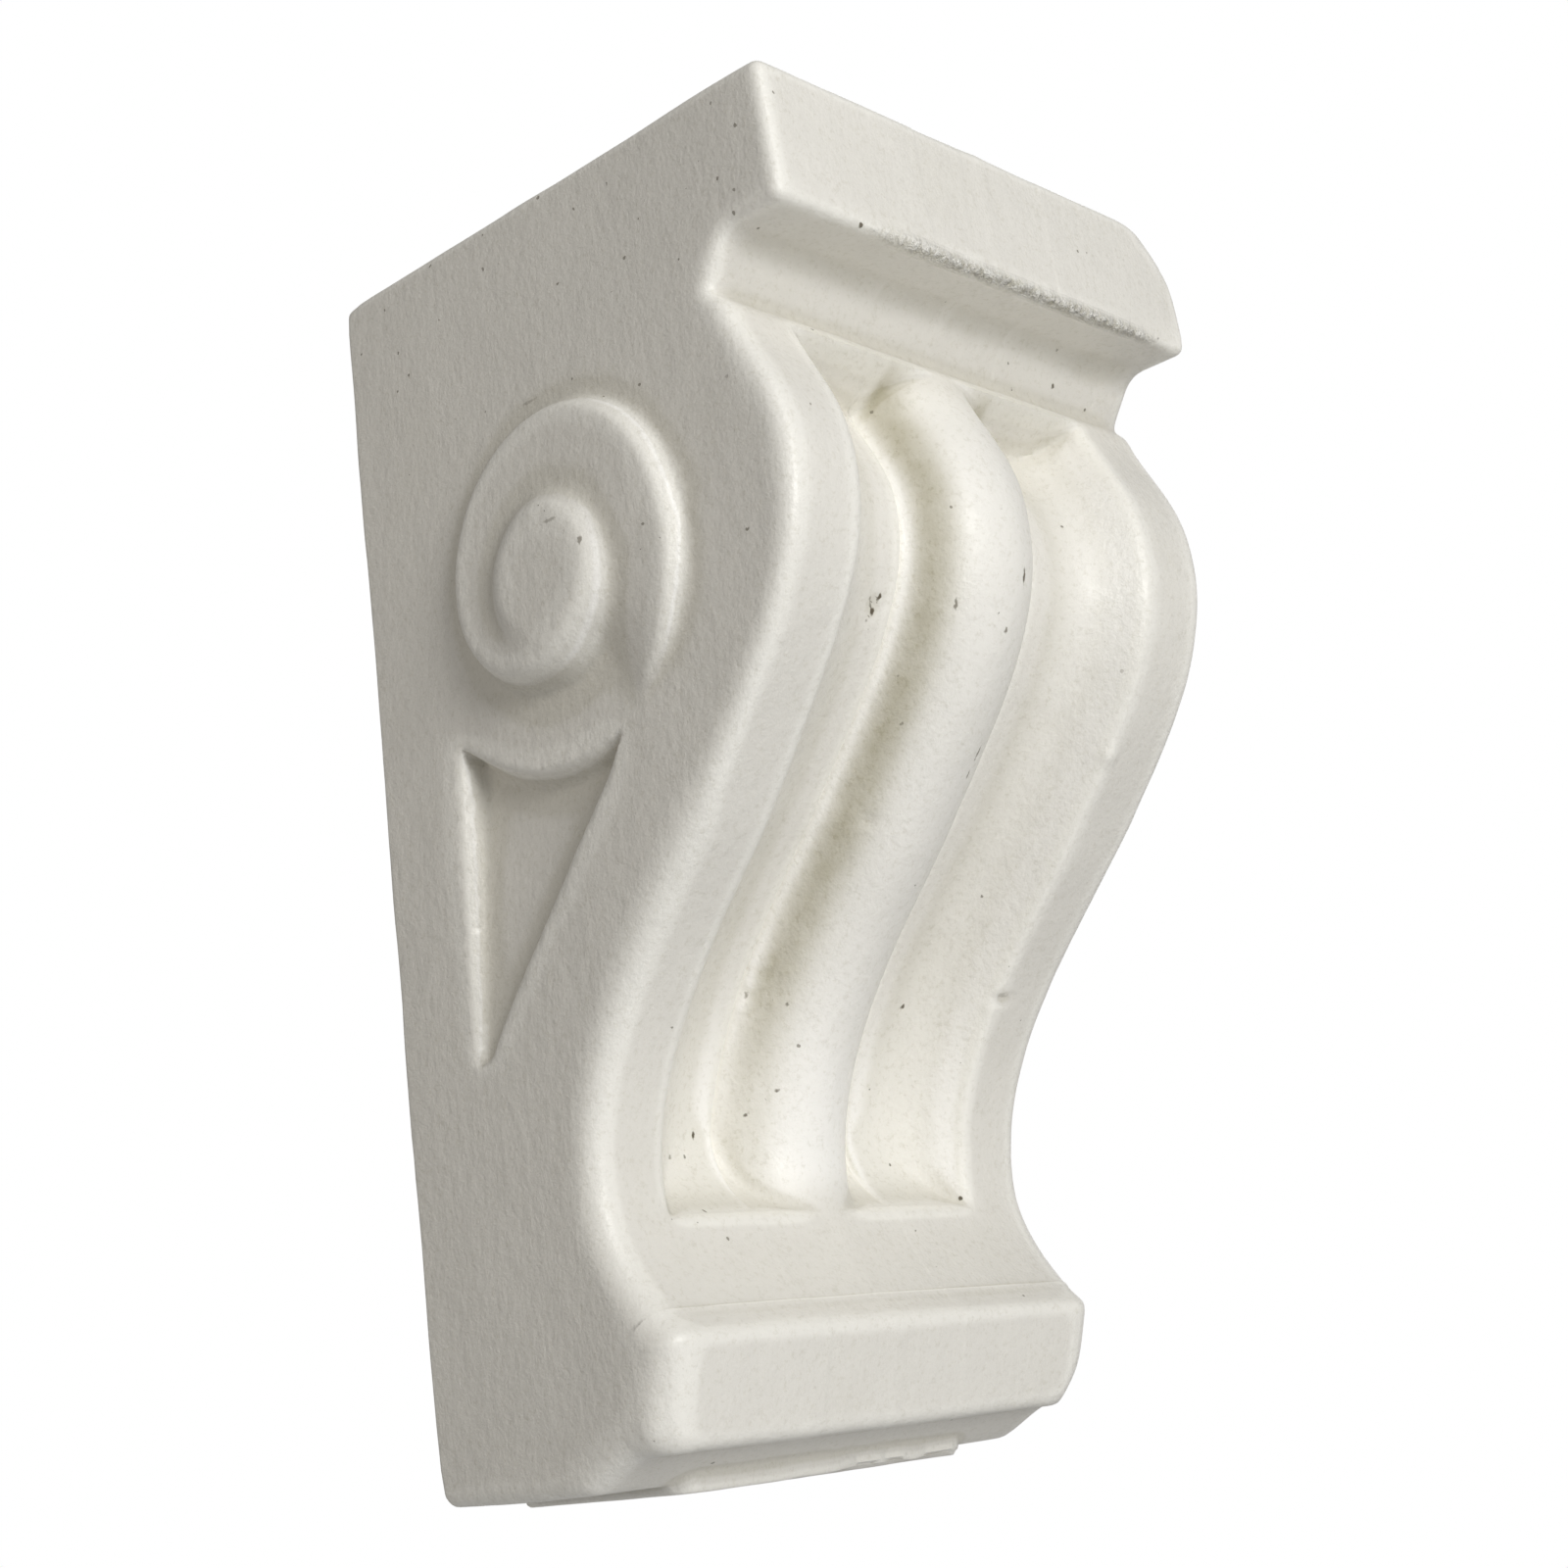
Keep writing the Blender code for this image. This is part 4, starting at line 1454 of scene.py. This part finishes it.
@dataclass(frozen=True)
class PlasterFinish:
    """Off-white painted plaster: fine grain, pinholes, painted shade in the hollows and on steep walls,
    painted light in the flutes and on the side's steps, rubbed edges and single marks.
    """

    colour: Colour = (0.835, 0.816, 0.767, 1.0)
    # Painted light: the bright colour of lit flute floors, the rim at the roll's foot and front-facing side
    # steps.
    clean: Colour = (0.970, 0.957, 0.922, 1.0)
    rubbed: Colour = (0.900, 0.884, 0.835, 1.0)
    # Colour of dirt and painted shade.
    dirt_and_shade: Colour = (0.50, 0.47, 0.36, 1.0)
    pit: Colour = (0.20, 0.175, 0.13, 1.0)
    roughness: float = 0.43
    fine: Noise = (2100.0, 2.0, 0.6)
    middle: Noise = (560.0, 3.0, 0.6)
    brush: Noise = (900.0, 2.0, 0.5)
    crumbs: Noise = (1150.0, 3.0, 0.7)
    cloud: Noise = (55.0, 4.0, 0.6)
    speck: Noise = (1250.0, 3.0, 0.75)
    smear: Noise = (240.0, 4.0, 0.65)
    sheen: Noise = (180.0, 3.0, 0.6)
    fine_height: float = 0.35
    middle_height: float = 0.9
    brush_height: float = 0.35
    pit_height: float = -2.6
    crumb_height: float = 9.0
    brush_stretch: tuple[float, float, float] = (1.0, 1.0, 0.25)
    # Painted shade in hollows.
    hollow_shade_span: Pair = (0.015, 0.16)
    hollow_shade_share: float = 0.20
    flank_shade_share: float = 0.72
    smear_span: tuple[float, float, float, float] = (0.30, 0.62, 0.78, 1.0)
    grit_span: tuple[float, float, float, float] = (0.56, 0.40, 0.0, 0.5)
    cloud_span: tuple[float, float, float, float] = (0.52, 0.75, 0.0, 0.05)
    speck_span: tuple[float, float, float, float] = (0.50, 0.72, 0.0, 0.17)
    edge_span: Pair = (-0.03, -0.20)
    sheen_span: Pair = (0.35, 0.65)
    sheen_change: Pair = (-0.05, 0.07)
    dirt_and_shade_roughness: float = 0.35
    mark_span: Pair = (1.10, 0.50)
    shake_scale: float = 1900.0
    shake_reach: float = 0.0005
    pit_share: float = 0.6
    pit_least: float = 0.4
    pit_more: float = 1.2
    pit_edge: float = 0.02
    bump_distance: float = 0.00016
    bump_strength: float = 0.9
    mark_reach: float = 0.0028
    mark_gap: float = 0.0008
    pit_cells: tuple[tuple[float, float, float], ...] = ((520.0, 0.085, 0.93), (230.0, 0.045, 0.955))
    marks: tuple[Mark, ...] = (
        Mark((-0.0153, 0.0933), (0.00035, 0.00055)),
        Mark((-0.0148, 0.0948), (0.00030, 0.00045)),
        Mark((-0.0162, 0.0945), (0.00025, 0.00035), 0.5),
        Mark((-0.0160, 0.0922), (0.00022, 0.00026), 0.4),
        Mark((0.0018, 0.0975), (0.00028, 0.00120), 0.9),
        Mark((-0.0003, 0.0911), (0.00028, 0.00040), 0.7),
        Mark((-0.0071, 0.0937), (0.00018, 0.00090), 0.7),
        Mark((-0.0084, 0.0818), (0.00024, 0.00030), 0.9),
        Mark((0.0029, 0.0790), (0.00024, 0.00100), 0.7),
        Mark((0.0027, 0.0768), (0.00020, 0.00060), 0.6),
        Mark((0.0229, 0.1290), (0.00030, 0.00040), 0.9),
        Mark((0.0305, 0.1278), (0.00026, 0.00030), 0.8),
        Mark((-0.0154, 0.0393), (0.00022, 0.00060)),
        Mark((0.0273, 0.0549), (0.00130, 0.00018), 0.22),
        Mark((-0.0199, 0.0367), (0.00040, 0.00035), 0.5),
        Mark((0.0174, 0.0547), (0.00026, 0.00034), 0.9),
        Mark((-0.0080, 0.0533), (0.00024, 0.00030), 0.8),
        Mark((-0.0108, 0.0550), (0.00022, 0.00050), 0.5),
        Mark((-0.0070, 0.0437), (0.00026, 0.00030), 0.8),
        Mark((0.0183, 0.0354), (0.00024, 0.00026), 0.8),
        Mark((-0.0092, 0.0413), (0.00022, 0.00026), 0.8),
        Mark((0.0253, 0.0303), (0.00024, 0.00026)),
        Mark((-0.0202, 0.0298), (0.00024, 0.00024)),
        Mark((-0.0247, 0.1332), (0.00030, 0.00030), 0.9),
        Mark((-0.0658, 0.0980), (0.00040, 0.00018), 0.7, Face.SIDE),
        Mark((-0.0442, 0.1031), (0.00030, 0.00060), 0.6, Face.SIDE),
        Mark((-0.0399, 0.1069), (0.00120, 0.00030), 0.35, Face.SIDE),
        Mark((-0.0336, 0.1247), (0.00160, 0.00024), 0.25, Face.SIDE),
    )

    def mark_group(self) -> bpy.types.NodeTree:
        """Mask of one mark: 1 inside an ellipsoid, 0 outside it.

        Returns:
            The group, with the place and the mark's own values as inputs and Mask as output.
        """
        inputs = {"Place": VECTOR, "Centre": VECTOR, "Extent": VECTOR, "Dark": FLOAT}
        sheet, given, last = new_group("mark", inputs, {"Mask": FLOAT})
        offset = sheet.vector("SUBTRACT", {0: given["Place"], 1: given["Centre"]})
        share = sheet.vector("DIVIDE", {0: offset, 1: given["Extent"]})
        inside = sheet.span(sheet.vector("LENGTH", {0: share}, "Value"), *self.mark_span)
        sheet.join(sheet.math("MULTIPLY", inside, given["Dark"]), last.inputs["Mask"])
        return sheet.tree

    def place_marks(self, mesh: bpy.types.Mesh) -> None:
        """Stores for each vertex the centre, half sizes and darkness of the mark next to it.

        Midway between two marks the darkness is 0, so that no mark appears where their values blend.

        Args:
            mesh: The worn casting, with the frame's levels.
        """
        places = vertex_places(mesh)
        lift = np.array((0.0, 0.0, 0.5 * ProfileSizes.height))
        centres = np.array([mark.centre(places + lift) for mark in self.marks]) - lift
        extents = np.array([mark.extent() for mark in self.marks])
        darks = np.array([mark.dark for mark in self.marks])
        reaches = 1.5 * np.array([max(mark.size) for mark in self.marks])
        gap = np.linalg.norm(places[:, None] - centres[None], axis=2)
        nearest = np.argmin(gap, axis=1)
        first, second = np.partition(gap, 1, axis=1)[:, :2].T
        own = (first < reaches[nearest]) | (second - first > self.mark_gap)
        store(mesh, "mark_dark", np.where(own & (first < self.mark_reach), darks[nearest], 0.0))
        store(mesh, "mark_centre", centres[nearest])
        store(mesh, "mark_extent", extents[nearest])

    def pit_group(self) -> bpy.types.NodeTree:
        """Mask of scattered pinholes: small spheres in some cells of a jittered lattice.

        Returns:
            The group, with the place as input and Mask as output.
        """
        sheet, given, last = new_group("pinholes", {"Place": VECTOR}, {"Mask": FLOAT})
        total = 0.0
        for scale, reach, share in self.pit_cells:
            cell = sheet.node("ShaderNodeTexVoronoi", {"feature": "F1"},
                              {"Vector": given["Place"], "Scale": scale})
            pick = sheet.node("ShaderNodeSeparateColor", {}, {0: cell.outputs["Color"]})
            size = sheet.math("MULTIPLY", pick.outputs[1], reach * self.pit_more)
            size = sheet.math("ADD", size, reach * self.pit_least)
            inside = sheet.math("LESS_THAN", cell.outputs["Distance"], size)
            chosen = sheet.span(pick.outputs[0], share, share + self.pit_edge)
            total = sheet.math("MAXIMUM", total, sheet.math("MULTIPLY", inside, chosen))
        sheet.join(total, last.inputs["Mask"])
        return sheet.tree

    def grain_group(self) -> bpy.types.NodeTree:
        """Height of the painted surface: lumps, fine grain, faint brush waves, pits and the crumbled arris.

        Returns:
            The group, with the place, the pits and the crumbled share as inputs and Height as output.
        """
        sheet, given, last = new_group("grain", {"Place": VECTOR, "Pits": FLOAT, "Crumbled": FLOAT},
                                       {"Height": FLOAT})
        place = given["Place"]
        stretched = sheet.node("ShaderNodeMapping", {}, {"Vector": place, "Scale": self.brush_stretch})
        height = sheet.math("MULTIPLY", sheet.noise(place, self.fine), self.fine_height)
        height = sheet.scaled(height, sheet.noise(place, self.middle), self.middle_height)
        height = sheet.scaled(height, sheet.noise(stretched.outputs["Vector"], self.brush), self.brush_height)
        height = sheet.scaled(height, given["Pits"], self.pit_height)
        crumbs = sheet.math("MULTIPLY", sheet.noise(place, self.crumbs), given["Crumbled"])
        sheet.join(sheet.scaled(height, crumbs, self.crumb_height), last.inputs["Height"])
        return sheet.tree

    def tone_group(self) -> bpy.types.NodeTree:
        """Colour of the paint: clouds, painted shade in hollows and on steep walls, painted light, rubbed
        edges, grit, specks and pits.

        Returns:
            The group, with the place and the mesh's shares as inputs, and Colour and the mask of dirt and
            painted shade as outputs.
        """
        inputs = {"Place": VECTOR, "Hollow": FLOAT, "Painted_shade": FLOAT, "Clean": FLOAT, "Crumbled": FLOAT,
                  "Pits": FLOAT}
        sheet, given, last = new_group("tone", inputs, {"Colour": COLOUR, "Dirt_and_shade": FLOAT})
        place = given["Place"]
        # Painted shade on the flutes' flanks, broken up by the smear noise.
        smear = sheet.span(sheet.noise(place, self.smear), *self.smear_span)
        kept = sheet.math("MULTIPLY", given["Painted_shade"], smear)
        # Painted shade: darker where the surface lies hollow.
        hollow_shade = sheet.math("MULTIPLY", sheet.span(given["Hollow"], *self.hollow_shade_span), self.hollow_shade_share)
        dirt_and_shade = sheet.scaled(hollow_shade, kept, self.flank_shade_share)
        grit = sheet.span(sheet.noise(place, self.crumbs), *self.grit_span)
        dirt_and_shade = sheet.scaled(dirt_and_shade, grit, given["Crumbled"])
        dirt_and_shade = sheet.math("ADD", dirt_and_shade, sheet.span(sheet.noise(place, self.cloud), *self.cloud_span))
        dirt_and_shade = sheet.math("ADD", dirt_and_shade, sheet.span(sheet.noise(place, self.speck), *self.speck_span))
        edge = sheet.span(given["Hollow"], *self.edge_span)
        # Painted light: the bright colour where the light share is high.
        colour = sheet.blend(given["Clean"], self.colour, self.clean)
        colour = sheet.blend(edge, colour, self.rubbed)
        # Dirt and painted shade: darkens by the summed mask of shade, grit, clouds and specks.
        colour = sheet.blend(dirt_and_shade, colour, self.dirt_and_shade)
        colour = sheet.blend(given["Pits"], colour, self.pit)
        sheet.join(colour, last.inputs["Colour"])
        sheet.join(dirt_and_shade, last.inputs["Dirt_and_shade"])
        return sheet.tree

    def material(self, mesh: bpy.types.Mesh) -> bpy.types.Material:
        """The finish as a material for the given mesh, which also stores the marks on that mesh.

        Args:
            mesh: The worn casting.

        Returns:
            The material.
        """
        material, shader = new_material("plaster")
        sheet = Sheet(material.node_tree)
        place = sheet.node("ShaderNodeTexCoord").outputs["Object"]
        names = ("hollow", "painted_shade", "clean", "crumbled")
        shares = {name.capitalize(): sheet.attribute(name) for name in names}
        shake = sheet.node("ShaderNodeTexNoise", {},
                           {"Vector": place, "Scale": self.shake_scale, "Detail": 1.0})
        shift = sheet.vector("SUBTRACT", {0: shake.outputs["Color"], 1: (0.5, 0.5, 0.5)})
        shift = sheet.vector("SCALE", {0: shift, "Scale": self.shake_reach})
        rough_place = sheet.vector("ADD", {0: place, 1: shift})
        holes = sheet.group(self.pit_group(), {"Place": rough_place}).outputs["Mask"]
        self.place_marks(mesh)
        nearest = {"Centre": sheet.attribute("mark_centre", "Vector"),
                   "Extent": sheet.attribute("mark_extent", "Vector"),
                   "Dark": sheet.attribute("mark_dark")}
        mark = sheet.group(self.mark_group(), {"Place": rough_place, **nearest}).outputs["Mask"]
        pits = sheet.math("MAXIMUM", sheet.math("MULTIPLY", holes, self.pit_share), mark)
        tone = sheet.group(self.tone_group(), {"Place": place, "Pits": pits, **shares})
        height = sheet.group(self.grain_group(), {"Place": place, "Pits": holes,
                                                  "Crumbled": shares["Crumbled"]})
        bump = sheet.node("ShaderNodeBump", {}, {"Height": height.outputs["Height"],
                                                 "Distance": self.bump_distance,
                                                 "Strength": self.bump_strength})
        smooth, rough = (self.roughness + change for change in self.sheen_change)
        gloss = sheet.span(sheet.noise(place, self.sheen), *self.sheen_span, smooth, rough)
        gloss = sheet.scaled(gloss, tone.outputs["Dirt_and_shade"], self.dirt_and_shade_roughness)
        sheet.join(tone.outputs["Colour"], shader.inputs["Base Color"])
        sheet.join(gloss, shader.inputs["Roughness"])
        sheet.join(bump.outputs["Normal"], shader.inputs["Normal"])
        return material


def direction(azimuth: float, elevation: float) -> Vector:
    """Unit vector towards an azimuth, from the front to the right, and an elevation, both in degrees."""
    across, up = math.radians(azimuth), math.radians(elevation)
    return Vector((math.sin(across) * math.cos(up), -math.cos(across) * math.cos(up), math.sin(up)))


@dataclass(frozen=True)
class Lamp:
    """A square soft light that faces the part, its azimuth and elevation in degrees, its power in watts."""

    name: str
    azimuth: float
    elevation: float
    distance: float
    size: float
    power: float
    colour: tuple[float, float, float] = (1.0, 1.0, 1.0)

    def build(self) -> None:
        """Adds the light to the scene."""
        data = bpy.data.lights.new(self.name, "AREA")
        data.shape = "SQUARE"
        data.size = self.size
        data.energy = self.power
        data.color = self.colour
        item = bpy.data.objects.new(self.name, data)
        ahead = direction(self.azimuth, self.elevation).normalized()
        turn = ahead.to_track_quat("Z", "Y").to_matrix().to_4x4()
        item.matrix_world = Matrix.Translation(ahead * self.distance) @ turn
        bpy.context.scene.collection.objects.link(item)


@dataclass
class Studio:
    """Pale floor well below the part, a surround that is bright behind it, soft lights and the camera."""

    target: tuple[float, float, float] = (-0.0087, -0.0400, 0.0044)
    distance: float = 0.296
    azimuth: float = -47.59
    elevation: float = -14.09
    roll: float = -6.56
    focal: float = 2509.0
    frame: float = 1600.0
    sensor: float = 36.0
    floor_half: float = 3.0
    floor_level: float = -0.60
    floor_colour: Colour = (0.9, 0.9, 0.9, 1.0)
    bright_way: tuple[float, float, float] = (0.716, 0.654, 0.243)
    bright_span: Pair = (0.80, 0.90)
    dim: float = 0.30
    gamma: float = 0.72
    lamps: tuple[Lamp, ...] = (
        Lamp("key_light", -18.0, 9.0, 0.9, 0.32, 3.5),
        Lamp("upper_light", -14.0, 38.0, 0.9, 0.36, 1.25),
        Lamp("side_light", -112.0, 8.0, 0.5, 0.30, 0.32, (1.0, 0.93, 0.84)),
        Lamp("low_light", 12.0, -42.0, 0.62, 0.30, 0.42),
    )

    def camera(self) -> None:
        """Camera at the photograph's angle: it looks at the target from its azimuth and elevation, rolled."""
        back = direction(self.azimuth, self.elevation)
        roll = math.radians(self.roll)
        level = (-back).cross(Vector((0.0, 0.0, 1.0))).normalized()
        upright = level.cross(-back)
        right = level * math.cos(roll) + upright * math.sin(roll)
        up = upright * math.cos(roll) - level * math.sin(roll)
        data = bpy.data.cameras.new("camera")
        data.sensor_width = self.sensor
        data.lens = self.focal / self.frame * self.sensor
        data.clip_start = 0.01
        item = bpy.data.objects.new("camera", data)
        turn = Matrix((right, up, back)).transposed().to_4x4()
        item.matrix_world = Matrix.Translation(Vector(self.target) + back * self.distance) @ turn
        bpy.context.scene.collection.objects.link(item)
        bpy.context.scene.camera = item

    def surround(self) -> None:
        """World: bright behind the part, dimmer in front, as in a room with a white wall."""
        world = bpy.data.worlds.new("surround")
        world.use_nodes = True
        sheet = Sheet(world.node_tree)
        shade = world.node_tree.nodes["Background"]
        place = sheet.node("ShaderNodeTexCoord").outputs["Generated"]
        turn = sheet.vector("DOT_PRODUCT", {0: place, 1: self.bright_way}, "Value")
        sheet.join(sheet.span(turn, *self.bright_span, self.dim, 1.0), shade.inputs["Strength"])
        sheet.join((1.0, 1.0, 1.0, 1.0), shade.inputs["Color"])
        bpy.context.scene.world = world

    def floor(self) -> bpy.types.Object:
        """Pale floor.

        Returns:
            The floor's object.
        """
        half, level = self.floor_half, self.floor_level
        mesh = bpy.data.meshes.new("floor")
        corners = [(-half, -half, level), (half, -half, level), (half, half, level), (-half, half, level)]
        mesh.from_pydata(corners, [], [(0, 1, 2, 3)])
        material, shader = new_material("floor")
        shader.inputs["Base Color"].default_value = self.floor_colour
        shader.inputs["Roughness"].default_value = 0.9
        mesh.materials.append(material)
        item = bpy.data.objects.new("floor", mesh)
        bpy.context.scene.collection.objects.link(item)
        return item

    def build(self) -> None:
        """Sets up the floor, the surround, the lights and the camera."""
        self.floor()
        self.surround()
        for lamp in self.lamps:
            lamp.build()
        self.camera()
        bpy.context.scene.view_settings.view_transform = "Standard"
        bpy.context.scene.view_settings.gamma = self.gamma


def main() -> None:
    """Loads the frame, replaces the casting by its fine mesh, dresses it and sets up the studio."""
    logging.basicConfig(level=logging.INFO)
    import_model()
    corbel = Casting().build()
    corbel.data.materials.append(PlasterFinish().material(corbel.data))
    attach(corbel, "root")
    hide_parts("corbel")
    triangles = sum(len(face.vertices) - 2 for face in corbel.data.polygons)
    LOG.info("corbel: %d vertices, %d triangles", len(corbel.data.vertices), triangles)
    Studio().build()


if __name__ == "__main__":
    main()
